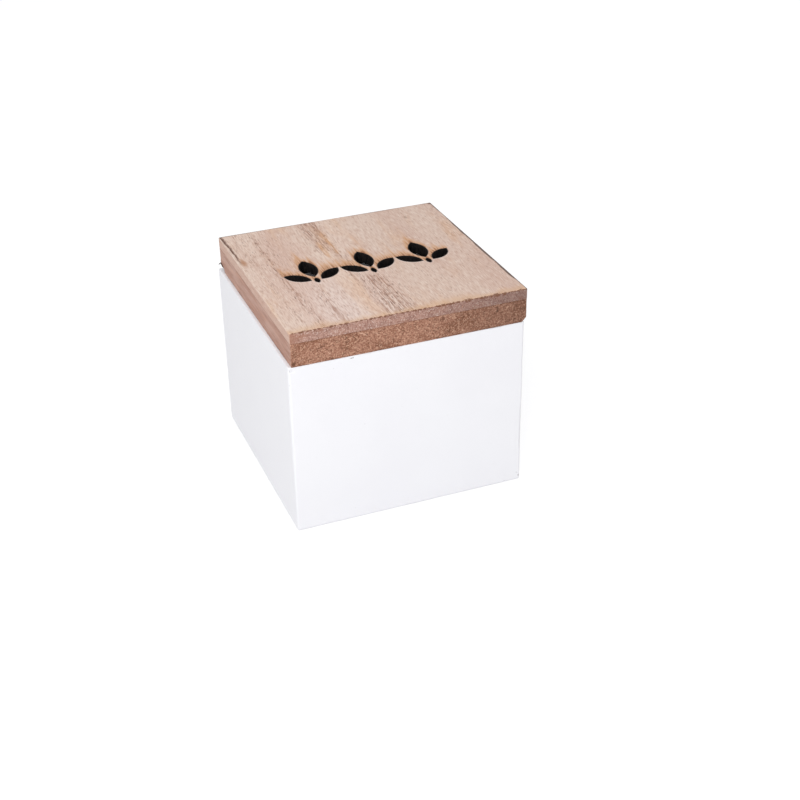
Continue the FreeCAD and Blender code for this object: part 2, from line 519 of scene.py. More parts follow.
class Wiring:
    """Adds nodes to one tree and links them."""

    def __init__(self, tree: bpy.types.NodeTree) -> None:
        """Start with an empty tree."""
        self.tree = tree
        tree.nodes.clear()

    def put(self, socket: Socket, value: object) -> None:
        """Link an input to another node's output, or set it to a plain value.

        Args:
            socket: The input.
            value: The other node's socket, or the value.
        """
        if isinstance(value, Socket):
            self.tree.links.new(value, socket)
        else:
            socket.default_value = value

    def node(self, kind: str, inputs: dict, **settings: object) -> bpy.types.Node:
        """Add a node.

        Args:
            kind: Blender's name of the node type.
            inputs: Sockets by name or number, each with a value or a socket to link from.
            settings: The node's own properties.

        Returns:
            The new node.
        """
        made = self.tree.nodes.new(kind)
        for key, value in settings.items():
            setattr(made, key, value)
        for key, value in inputs.items():
            self.put(made.inputs[key], value)
        return made

    def sum(self, operation: str, first: object, second: object = 0.0, third: object = 0.0) -> Socket:
        """Work out one sum on sockets or numbers."""
        return self.node("ShaderNodeMath", {0: first, 1: second, 2: third}, operation=operation).outputs[0]

    def plus(self, first: object, second: object) -> Socket:
        """Add two values."""
        return self.sum("ADD", first, second)

    def less(self, first: object, second: object) -> Socket:
        """Take the second value from the first."""
        return self.sum("SUBTRACT", first, second)

    def times(self, first: object, second: object) -> Socket:
        """Multiply two values."""
        return self.sum("MULTIPLY", first, second)


class Bench(Wiring):
    """Lays out the nodes of one material."""

    def __init__(self, name: str) -> None:
        """Start a material with only its surface shader and output.

        Args:
            name: Name of the material.
        """
        self.material = bpy.data.materials.new(name)
        self.material.use_nodes = True
        super().__init__(self.material.node_tree)
        self.shader = self.node("ShaderNodeBsdfPrincipled", {})
        self.node("ShaderNodeOutputMaterial", {"Surface": self.shader.outputs["BSDF"]})
        self._places = self.node("ShaderNodeTexCoord", {}).outputs["Object"]

    def set(self, name: str, value: object) -> None:
        """Link or set one input of the surface shader."""
        self.put(self.shader.inputs[name], value)

    def noise(
        self, cells: float | Sequence[float], detail: float = 2.0, rough: float = 0.5, bend: float = 0.0
    ) -> Socket:
        """Add smooth noise around 0.5.

        Args:
            cells: Cells to the metre, along x, y and z or alike along all.
            detail: How many finer layers it has.
            rough: How strong the finer layers are.
            bend: How much it is stirred.

        Returns:
            The noise.
        """
        inputs = {"Vector": self._places, "Scale": np.broadcast_to(cells, 3).tolist()}
        scaled = self.node("ShaderNodeMapping", inputs).outputs["Vector"]
        inputs = {"Vector": scaled, "Scale": 1.0, "Detail": detail, "Roughness": rough, "Distortion": bend}
        return self.node("ShaderNodeTexNoise", inputs).outputs["Fac"]

    def value(self, name: str) -> Socket:
        """Read a number kept for each point of the piece."""
        return self.node("ShaderNodeAttribute", {}, attribute_name=name).outputs["Fac"]

    def axis(self, letter: str) -> Socket:
        """Read one of the piece's own coordinates, in metres."""
        return self.node("ShaderNodeSeparateXYZ", {"Vector": self._places}).outputs[letter]

    def away(self, first: str, at_first: float, second: str, at_second: float) -> Socket:
        """Measure the distance to the edge where two of the piece's faces meet.

        Args:
            first: Letter of one axis across the edge.
            at_first: Where the edge lies on it, in metres.
            second: Letter of the other axis across the edge.
            at_second: Where the edge lies on that one.

        Returns:
            The distance in metres.
        """
        one = self.less(self.axis(first), at_first)
        other = self.less(self.axis(second), at_second)
        return self.sum("SQRT", self.plus(self.times(one, one), self.times(other, other)))

    def spread(
        self, value: Socket, low: float, high: float, to_low: float = 0.0, to_high: float = 1.0
    ) -> Socket:
        """Stretch a value from one range to another, smoothly and held at its ends."""
        inputs = {"Value": value, "From Min": low, "From Max": high, "To Min": to_low, "To Max": to_high}
        return self.node("ShaderNodeMapRange", inputs, interpolation_type="SMOOTHSTEP").outputs["Result"]

    def mix(self, share: object, under: object, over: object) -> Socket:
        """Lay one colour over another by a share from 0 to 1.

        Args:
            share: How much of the upper colour shows.
            under: The lower colour.
            over: The upper colour.

        Returns:
            The new colour.
        """
        share_in, under_in, over_in, colour_out = 0, 6, 7, 2
        inputs = {share_in: share, under_in: under, over_in: over}
        return self.node("ShaderNodeMix", inputs, data_type="RGBA", clamp_factor=True).outputs[colour_out]

    def over(self, under: object, over: object, value: Socket, *span: float) -> Socket:
        """Lay one colour over another where a value is spread over a span."""
        return self.mix(self.spread(value, *span), under, over)

    def bump(self, height: Socket, distance: float, strength: float) -> None:
        """Raise the shading by a height from 0 to 1 over a distance in metres."""
        inputs = {"Height": height, "Distance": distance, "Strength": strength}
        self.set("Normal", self.node("ShaderNodeBump", inputs).outputs["Normal"])


@dataclass(frozen=True)
class WhitePaint:
    """Sprayed satin paint over board, with a faint unevenness and dark chips."""

    colour: Colour = (0.885, 0.882, 0.910, 1.0)
    shade: Colour = (0.870, 0.866, 0.896, 1.0)
    bare: Colour = (0.10, 0.085, 0.08, 1.0)
    roughness: float = 0.42

    def make(self) -> Material:
        """Build the material, which reads the piece's "chip" values.

        Returns:
            The material.
        """
        bench = Bench("white_paint")
        cloud = bench.noise(28.0, detail=3.0)
        colour = bench.over(self.shade, self.colour, cloud, 0.35, 0.65)
        grit = bench.noise(900.0)
        colour = bench.over(colour, self.bare, grit, 0.72, 0.80, 0.0, 0.25)
        ragged = bench.sum("MULTIPLY_ADD", bench.noise(2600.0), 0.8, -0.4)
        chip = bench.plus(bench.value("chip"), ragged)
        bench.set("Base Color", bench.over(colour, self.bare, chip, 0.35, 0.6))
        bench.set("Roughness", bench.spread(cloud, 0.3, 0.7, self.roughness, self.roughness + 0.12))
        bench.set("Specular IOR Level", 0.35)
        bench.bump(bench.noise(420.0, detail=3.0, rough=0.6), 0.00008, 0.6)
        return bench.material


@dataclass(frozen=True)
class Fibreboard:
    """Bare pressed fibre: rough and reddish on the ends, smooth and paler on the sides."""

    name: str = "fibreboard"
    base: Colour = linear(163, 116, 95)
    warm: Colour = linear(138, 92, 71)
    pale: Colour = linear(196, 161, 147)
    blush: Colour = linear(180, 140, 125)
    speck: Colour = linear(88, 56, 40)
    strand: Colour = linear(216, 172, 146)
    shade: Colour = linear(70, 48, 36)
    # strength of the painted shade that darkens the ends towards the right
    painted_shade_right: float = 0.38

    def make(self) -> Material:
        """Build the material, which reads the piece's "side" and "stain" values.

        Returns:
            The material.
        """
        bench = Bench(self.name)
        side = bench.value("side")
        cloud = bench.noise((130.0, 130.0, 190.0), detail=4.0)
        colour = bench.over(self.base, self.warm, cloud, 0.40, 0.66)
        knit = bench.noise(520.0, detail=3.0, rough=0.6)
        colour = bench.over(colour, self.speck, knit, 0.52, 0.68, 0.0, 0.55)
        colour = bench.mix(self._threads(bench, 300.0, 1.6, 0.016, 0.85), colour, self.strand)
        colour = bench.mix(self._threads(bench, 620.0, 1.0, 0.030, 0.55), colour, self.strand)
        fleck = bench.noise(1500.0, rough=0.6)
        colour = bench.over(colour, self.speck, fleck, 0.54, 0.66, 0.0, 0.56)
        colour = bench.over(colour, self.strand, fleck, 0.34, 0.47, 0.56, 0.0)
        colour = bench.mix(side, colour, self._smooth(bench, fleck))
        # darkening: real stains and marks, plus painted shade where the piece keeps it
        colour = bench.mix(bench.value("darkening"), colour, self.speck)
        # painted shade: the sawn ends darken towards the right
        painted_shade_right = bench.spread(bench.axis("X"), -0.005, 0.052, 0.0, self.painted_shade_right)
        painted_shade_right = bench.times(painted_shade_right, bench.less(1.0, side))
        bench.set("Base Color", bench.mix(painted_shade_right, colour, self.shade))
        bench.set("Roughness", 0.82)
        bench.set("Specular IOR Level", 0.25)
        bench.bump(bench.less(knit, fleck), 0.0003, 0.5)
        return bench.material

    def _threads(self, bench: Bench, cells: float, bend: float, width: float, share: float) -> Socket:
        """Draw thin curved threads, broken off here and there.

        Args:
            bench: The material under way.
            cells: Cells per metre; more gives tighter curls.
            bend: How much the curls are stirred.
            width: Width of a thread as a share of the noise's range.
            share: The threads' strength.

        Returns:
            The threads' share at each place.
        """
        wisp = bench.noise(cells, detail=1.0, bend=bend)
        off = bench.sum("ABSOLUTE", bench.less(wisp, 0.5))
        line = bench.spread(off, 0.3 * width, width, share, 0.0)
        breaks = bench.noise(1.7 * cells, detail=1.0)
        return bench.times(line, bench.spread(breaks, 0.44, 0.56))

    def _smooth(self, bench: Bench, fleck: Socket) -> Socket:
        """Lay the sanded side, with faint streaks along it and a few dark flecks.

        Args:
            bench: The material under way.
            fleck: The fleck pattern.

        Returns:
            The side's colour.
        """
        cloud = bench.noise((150.0, 45.0, 260.0), detail=4.0, rough=0.6)
        pale = bench.over(self.pale, self.blush, cloud, 0.36, 0.64)
        streak = bench.noise((500.0, 70.0, 900.0))
        pale = bench.over(pale, self.warm, streak, 0.54, 0.70, 0.0, 0.35)
        pale = bench.over(pale, self.strand, streak, 0.30, 0.46, 0.30, 0.0)
        return bench.over(pale, self.speck, fleck, 0.62, 0.74, 0.0, 0.45)


@dataclass(frozen=True)
class LightWood:
    """Open-pored light wood with its grain along y, scorched behind the cut-outs."""

    pale: Colour = linear(225, 202, 187)
    pink: Colour = linear(212, 182, 167)
    early: Colour = linear(182, 140, 118)
    cream: Colour = linear(233, 216, 204)
    cool: Colour = linear(230, 212, 204)
    # colour of the painted shade towards the right of the board
    shade: Colour = linear(150, 118, 106)
    flank: Colour = linear(188, 142, 122)
    dash: Colour = linear(150, 104, 82)
    pore: Colour = linear(102, 60, 42)
    warm: Colour = linear(216, 172, 132)
    end: Colour = linear(182, 142, 128)
    end_dark: Colour = linear(138, 102, 92)
    end_rust: Colour = linear(164, 116, 94)
    end_painted_shade: Colour = linear(84, 66, 62)
    honey: Colour = linear(210, 166, 124)
    umber: Colour = linear(116, 74, 52)
    darkening: Colour = linear(166, 110, 68)
    painted_edge_shade: Colour = linear(86, 66, 58)
    split: Colour = linear(88, 46, 28)
    toast: Colour = linear(204, 150, 100)
    scorch: Colour = linear(138, 86, 50)
    char: Colour = linear(22, 14, 12)

    def make(self, board: Extent) -> Material:
        """Build the material, which reads the values that the board keeps at its points.

        Args:
            board: The board's own box.

        Returns:
            The material.
        """
        bench = Bench("light_wood")
        end = bench.value("end")
        colour, fibre, hole = self._grain(bench)
        colour = bench.mix(end, colour, self._cut(bench))
        ragged = bench.noise((750.0, 110.0, 750.0), detail=3.0)
        colour = bench.mix(self._tinted(bench, ragged, end, board), colour, self.honey)
        colour = self._edges(bench, colour, ragged, board)
        low, high = board.high[2] - 0.0006, board.high[2] - 0.0003
        below = bench.spread(bench.axis("Z"), low, high, 0.45, 0.0)
        colour = bench.mix(bench.times(below, bench.less(1.0, end)), colour, self.flank)
        colour = bench.mix(bench.times(bench.value("spot"), 0.85), colour, self.darkening)
        colour = bench.mix(bench.value("crack"), colour, self.split)
        flame = bench.noise((1100.0, 70.0, 1100.0), detail=3.0)
        heat = bench.times(bench.value("scorch"), bench.spread(flame, 0.30, 0.68, 0.45, 1.35))
        colour = bench.over(colour, self.toast, heat, 0.03, 0.60, 0.0, 0.68)
        colour = bench.over(colour, self.scorch, heat, 0.48, 1.05, 0.0, 0.85)
        colour = bench.mix(bench.value("char"), colour, self.char)
        bench.set("Base Color", colour)
        bench.set("Roughness", bench.spread(fibre, 0.3, 0.7, 0.62, 0.74))
        bench.set("Specular IOR Level", 0.3)
        bench.bump(bench.less(fibre, hole), 0.00012, 0.5)
        return bench.material

    def _grain(self, bench: Bench) -> tuple[Socket, Socket, Socket]:
        """Lay the long grain: soft bands, fine fibres, dashes and open pores.

        Args:
            bench: The material under way.

        Returns:
            The colour, the fibre pattern and the pore pattern.
        """
        figure = bench.value("figure")
        tone = bench.noise((46.0, 9.0, 46.0), detail=3.0)
        colour = bench.over(self.pale, self.pink, tone, 0.36, 0.68)
        # painted light: a pale patch at the front left of the top, with the rubbed pale wood in front of the
        # cut-outs
        colour = bench.mix(bench.value("painted_light_and_rubbed"), colour, self.cool)
        # painted shade: the long grain darkens towards the right
        colour = bench.over(colour, self.shade, bench.axis("X"), -0.003, 0.012, 0.0, 0.13)
        glow = bench.noise((130.0, 24.0, 130.0), detail=3.0)
        colour = bench.over(colour, self.warm, glow, 0.52, 0.76, 0.0, 0.45)
        band = bench.noise((640.0, 24.0, 640.0), detail=3.0, bend=0.2)
        share = bench.spread(figure, 0.0, 1.0, 0.14, 0.37)
        colour = bench.mix(bench.times(bench.spread(band, 0.46, 0.66), share), colour, self.early)
        fibre = bench.noise((2400.0, 230.0, 2400.0))
        colour = bench.over(colour, self.early, fibre, 0.34, 0.52, 0.42, 0.0)
        colour = bench.over(colour, self.cream, fibre, 0.54, 0.70, 0.0, 0.55)
        dashes = bench.noise((1500.0, 240.0, 1500.0), rough=0.6)
        lines = bench.noise((1900.0, 40.0, 1900.0))
        pores = bench.noise((2000.0, 260.0, 2000.0), detail=1.0)
        # a pattern, the span that draws it, how its share follows the open grain, its colour
        marks = (
            (dashes, (0.58, 0.70), (0.0, 1.0, 0.38, 0.46), self.dash),
            (lines, (0.60, 0.70), (0.12, 0.7, 0.0, 0.50), self.dash),
            (pores, (0.69, 0.76), (0.0, 0.6, 0.36, 0.62), self.pore),
        )
        lift = bench.times(figure, 0.12)
        for pattern, span, follow, tint in marks:
            hole = bench.spread(bench.plus(pattern, lift), *span)
            colour = bench.mix(bench.times(hole, bench.spread(figure, *follow)), colour, tint)
        return colour, fibre, hole

    def _cut(self, bench: Bench) -> Socket:
        """Lay the sawn end grain: a fine dark and light speckle, with painted shade towards the right.

        Args:
            bench: The material under way.

        Returns:
            The end grain's colour.
        """
        cloud = bench.noise((260.0, 260.0, 420.0), detail=3.0)
        cut = bench.over(self.end, self.end_dark, cloud, 0.36, 0.66, 0.0, 0.5)
        rust = bench.noise((120.0, 120.0, 300.0))
        cut = bench.over(cut, self.end_rust, rust, 0.50, 0.70, 0.0, 0.6)
        pit = bench.noise(2300.0, rough=0.65)
        cut = bench.over(cut, self.pore, pit, 0.54, 0.68, 0.0, 0.75)
        cut = bench.over(cut, self.cream, pit, 0.30, 0.45, 0.65, 0.0)
        x = bench.axis("X")
        cut = bench.over(cut, self.end_rust, x, -0.049, -0.042, 0.7, 0.0)
        # painted shade: the end grain darkens towards the right
        return bench.over(cut, self.end_painted_shade, x, -0.010, 0.052, 0.0, 0.48)

    def _tinted(self, bench: Bench, ragged: Socket, end: Socket, board: Extent) -> Socket:
        """Find the front of the top, which is tinted like honey to a wandering depth.

        Args:
            bench: The material under way.
            ragged: The pattern that frays the tint.
            end: How far each point belongs to the end grain.
            board: The board's own box.

        Returns:
            The tint's share.
        """
        top = board.high[2]
        deep = bench.spread(bench.noise((70.0, 1.0, 1.0), detail=3.0), 0.36, 0.66, 0.0026, 0.0080)
        wander = bench.sum("MULTIPLY_ADD", ragged, 0.0024, -0.0012)
        depth = bench.plus(bench.less(bench.axis("Y"), board.low[1]), wander)
        share = bench.spread(bench.sum("DIVIDE", depth, deep), 0.05, 1.15, 0.50, 0.0)
        share = bench.times(share, bench.spread(bench.axis("Z"), top - 0.0007, top - 0.0003))
        return bench.times(share, bench.less(1.0, end))

    def _edges(self, bench: Bench, colour: Socket, ragged: Socket, board: Extent) -> Socket:
        """Darken the edges of the top: worn dark along the front, with painted shade along the right and back
        arrises.

        Args:
            bench: The material under way.
            colour: The colour so far.
            ragged: The pattern that frays the right edge.
            board: The board's own box.

        Returns:
            The new colour.
        """
        x, y = bench.axis("X"), bench.axis("Y")
        bite = bench.spread(bench.noise(800.0, detail=3.0, rough=0.65), 0.40, 0.62, 0.0, 0.00065)
        front = bench.times(bite, bench.spread(bench.noise((230.0, 1.0, 1.0)), 0.36, 0.52, 0.3, 1.0))
        front = bench.times(front, bench.spread(x, 0.014, 0.024, 1.0, 1.7))
        # painted shade along the right arris, widest in the middle
        right = bench.spread(bench.noise((1.0, 60.0, 1.0), detail=3.0), 0.36, 0.60, 0.0001, 0.0006)
        middle = bench.sum("ABSOLUTE", bench.plus(y, 0.010))
        right = bench.plus(right, bench.spread(middle, 0.024, 0.040, 0.0005, 0.0))
        right = bench.sum("MULTIPLY_ADD", ragged, 0.0006, bench.less(right, 0.0003))
        # painted shade along the back arris
        back = bench.spread(bench.noise((60.0, 1.0, 1.0), detail=3.0), 0.34, 0.60, 0.0002, 0.0007)
        # the edge, how far its dark reaches, over what it fades, how strong it is, its colour
        edges = (
            (("Y", board.low[1]), front, 0.00022, 0.85, self.umber),
            (("X", board.high[0]), right, 0.00022, 0.9, self.painted_edge_shade),
            (("Y", board.high[1]), back, 0.0002, 0.6, self.painted_edge_shade),
        )
        for edge, reach, fade, share, tint in edges:
            past = bench.less(bench.away(*edge, "Z", board.high[2]), reach)
            colour = bench.over(colour, tint, past, 0.0, fade, share, 0.0)
        return colour


@dataclass(frozen=True)
class Char:
    """What the laser leaves on the cut walls: dull black crust."""

    deep: Colour = (0.0035, 0.003, 0.0035, 1.0)
    ash: Colour = (0.016, 0.011, 0.009, 1.0)

    def make(self) -> Material:
        """Build the material.

        Returns:
            The material.
        """
        bench = Bench("char_crust")
        grit = bench.noise((1300.0, 1300.0, 500.0), detail=3.0)
        bench.set("Base Color", bench.over(self.deep, self.ash, grit, 0.4, 0.7))
        bench.set("Roughness", bench.spread(grit, 0.3, 0.7, 0.65, 0.85))
        bench.set("Specular IOR Level", 0.2)
        bench.bump(grit, 0.0001, 0.7)
        return bench.material


@dataclass(frozen=True)
class LooseFibre:
    """Wood fibres that stand out of the pressed board."""

    name: str = "loose_fibre"
    colour: Colour = linear(220, 178, 154)
    dark: Colour = linear(178, 132, 108)

    def make(self) -> Material:
        """Build the material.

        Returns:
            The material.
        """
        bench = Bench(self.name)
        tone = bench.noise(300.0, detail=1.0)
        bench.set("Base Color", bench.over(self.colour, self.dark, tone, 0.35, 0.65))
        bench.set("Roughness", 0.75)
        return bench.material


# ---------------------------------------------------------------- the body


@dataclass(frozen=True)
class Chip:
    """A spot where the paint is knocked off, in millimetres from a corner of the body.

    The corner is a 0 for the low side or a 1 for the high side, along x, y and z.
    """

    corner: tuple[int, int, int]
    place: Place
    radius: float
    depth: float
    strength: float
    stretch: Place = (1.0, 1.0, 1.0)

    def spot(self, box: Extent) -> Rows:
        """Find the spot on a box, in metres."""
        return np.where(self.corner, box.high, box.low) + np.array(self.place) * MM


LEFT_FOOT, RIGHT_FOOT, LEFT_TOP = (0, 0, 0), (1, 0, 0), (0, 0, 1)
WIDE = (2.2, 1.0, 0.7)
CHIPS = (
    Chip(LEFT_TOP, (1.3, 0.2, -1.5), 1.0, 0.22, 0.37, (1.4, 1.0, 0.9)),
    Chip(LEFT_FOOT, (0.3, 0.3, 41.6), 0.45, 0.2, 0.35),
    Chip(RIGHT_FOOT, (-1.7, 0.0, 3.6), 0.55, 0.10, 0.36, (1.3, 1.0, 0.8)),
    Chip(RIGHT_FOOT, (-0.6, 0.0, 1.9), 0.55, 0.14, 0.42, (0.8, 1.0, 1.3)),
    Chip(RIGHT_FOOT, (-3.4, 0.0, 2.3), 0.50, 0.08, 0.33),
    Chip(RIGHT_FOOT, (-7.4, 0.0, 0.6), 0.45, 0.15, 0.42),
    Chip(RIGHT_FOOT, (-5.2, 0.0, 16.0), 0.55, 0.08, 0.33, (1.3, 1.0, 0.8)),
    Chip(LEFT_TOP, (26.2, 0.0, -1.1), 0.62, 0.12, 0.50, WIDE),
    Chip(LEFT_TOP, (16.7, 0.0, -4.0), 0.35, 0.1, 0.3),
    Chip(LEFT_TOP, (67.9, 0.0, -1.6), 0.35, 0.1, 0.3),
    Chip(LEFT_FOOT, (16.3, 0.0, 52.4), 0.3, 0.08, 0.12),
    Chip(LEFT_FOOT, (24.0, 0.0, 35.3), 0.3, 0.08, 0.12),
    Chip(RIGHT_FOOT, (-0.3, 36.0, 0.8), 0.6, 0.25, 0.7),
    Chip(LEFT_TOP, (30.0, 100.0, -1.0), 0.6, 0.2, 0.5, WIDE),
)


@dataclass
class PaintedBody:
    """The white body: four walls round a floor, painted as one."""

    outside: Extent
    wall: float
    floor_top: float
    corner: float = 1.0 * MM
    top_round: float = 0.45 * MM
    foot_round: float = 0.6 * MM
    inner_corner: float = 0.5 * MM
    sway: float = 0.05 * MM
    chips: tuple[Chip, ...] = CHIPS
    finish: WhitePaint = field(default_factory=WhitePaint)

    def _levels(self) -> list[tuple[float, float, float]]:
        """Give the profile from the foot up, over the rim and down inside.

        Returns:
            The inset, the corner radius and the height of each loop.
        """
        foot, top = self.outside.low[2], self.outside.high[2]
        third = 0.3 * self.foot_round
        low = [(self.foot_round, 0.4 * MM, foot), (third, 0.8 * MM, foot + third)]
        # close together near the foot and the top, where the wear is
        steps = (np.arange(0.6, 3.0, 0.4), np.linspace(3.0, 70.0, 56), np.arange(70.5, 75.01, 0.45))
        heights = np.concatenate(steps) * MM
        outer = [(0.0, self.corner, foot + height) for height in heights if height < top - self.top_round]
        third = 0.3 * self.top_round
        rim = [(0.0, self.corner, top - self.top_round), (third, self.corner, top - third)]
        rim += [(self.top_round, self.corner, top)]
        rim += [(inset * MM, self.inner_corner, top) for inset in (1.6, 3.0, 4.4)]
        rim += [(self.wall - self.top_round, self.inner_corner, top)]
        rim += [(self.wall - third, self.inner_corner, top - third)]
        down = np.linspace(top - self.top_round, self.floor_top + 0.5 * MM, 18)
        inner = [(self.wall, self.inner_corner, height) for height in down]
        cove = [(self.wall + 0.5 * MM, self.inner_corner, self.floor_top)]
        return low + outer + rim + inner + cove

    def build(self) -> Piece:
        """Build the body as one closed shell and dress it.

        Returns:
            The finished piece.
        """
        draft = MeshDraft()
        loops = draft.stack(Outline(self.outside, 1.0 * MM, 0.4 * MM, 3.0 * MM), self._levels())
        grid = flat_grid(self.outside, self.wall + 4 * MM, 17)
        for loop, height in ((loops[0], self.outside.low[2]), (loops[-1], self.floor_top)):
            draft.fill([loop], draft.add(at_height(grid, height)))
        piece = draft.to_object("painted_body")
        carve(piece, self._sway)
        self._knock(piece)
        nodes = (*Side.nodes("wall"), "floor_panel")
        return settle(piece, nodes, self.finish.make(), SHARP_FROM)

    def _sway(self, places: Rows, outward: Rows) -> Rows:
        """Give the slight waviness of sanded and sprayed board.

        Args:
            places: Points of the piece.
            outward: Their outward directions.

        Returns:
            Metres inwards at each point.
        """
        wave = noise_at(places, 60.0, Pattern.SWAY) * 0.6
        wave += noise_at(places, 420.0, Pattern.RIPPLE) * 0.25
        edge = np.abs(outward).max(axis=1) < FLAT
        wear = ease(0.1, 0.8, noise_at(places, 160.0, Pattern.WEAR)) * edge
        near_foot = ease(2.0 * MM, 0.0, np.abs(places[:, 2] - self.outside.low[2]))
        upright = 1.0 - np.abs(outward[:, 2]) * near_foot
        return (self.sway * (0.5 + 0.5 * wave) + 0.22 * MM * wear) * upright

    def _knock(self, piece: Piece) -> None:
        """Dent the chips into a locally finer mesh and mark where they are.

        Args:
            piece: The body.
        """
        work = bmesh.new()
        work.from_mesh(piece.data)
        spots = [chip.spot(self.outside) for chip in self.chips]
        for chip, spot in zip(self.chips, spots):
            reach = (chip.radius * max(chip.stretch) * 1.6 + 0.5) * MM
            near = [face for face in work.faces if (face.calc_center_median() - Vector(spot)).length < reach]
            edges = list({edge for face in near for edge in face.edges})
            bmesh.ops.subdivide_edges(work, edges=edges, cuts=2, use_grid_fill=True)
        bmesh.ops.triangulate(work, faces=[face for face in work.faces if len(face.verts) > 4])
        work.to_mesh(piece.data)
        work.free()
        places, outward = corner_points(piece)
        sink, mark = np.zeros(len(places)), np.zeros(len(places))
        for number, (chip, spot) in enumerate(zip(self.chips, spots)):
            away = np.linalg.norm((places - spot) / np.array(chip.stretch), axis=1) / (chip.radius * MM)
            away += 0.35 * noise_at(places, 1100.0, Pattern.CHIPS + number)
            sink = np.maximum(sink, chip.depth * MM * ease(1.25, 0.5, away))
            mark = np.maximum(mark, chip.strength * ease(1.3, 0.6, away))
        move_points(piece, places - outward * sink[:, None])
        store(piece, "chip", mark)


# ---------------------------------------------------------------- the lid's lower frame


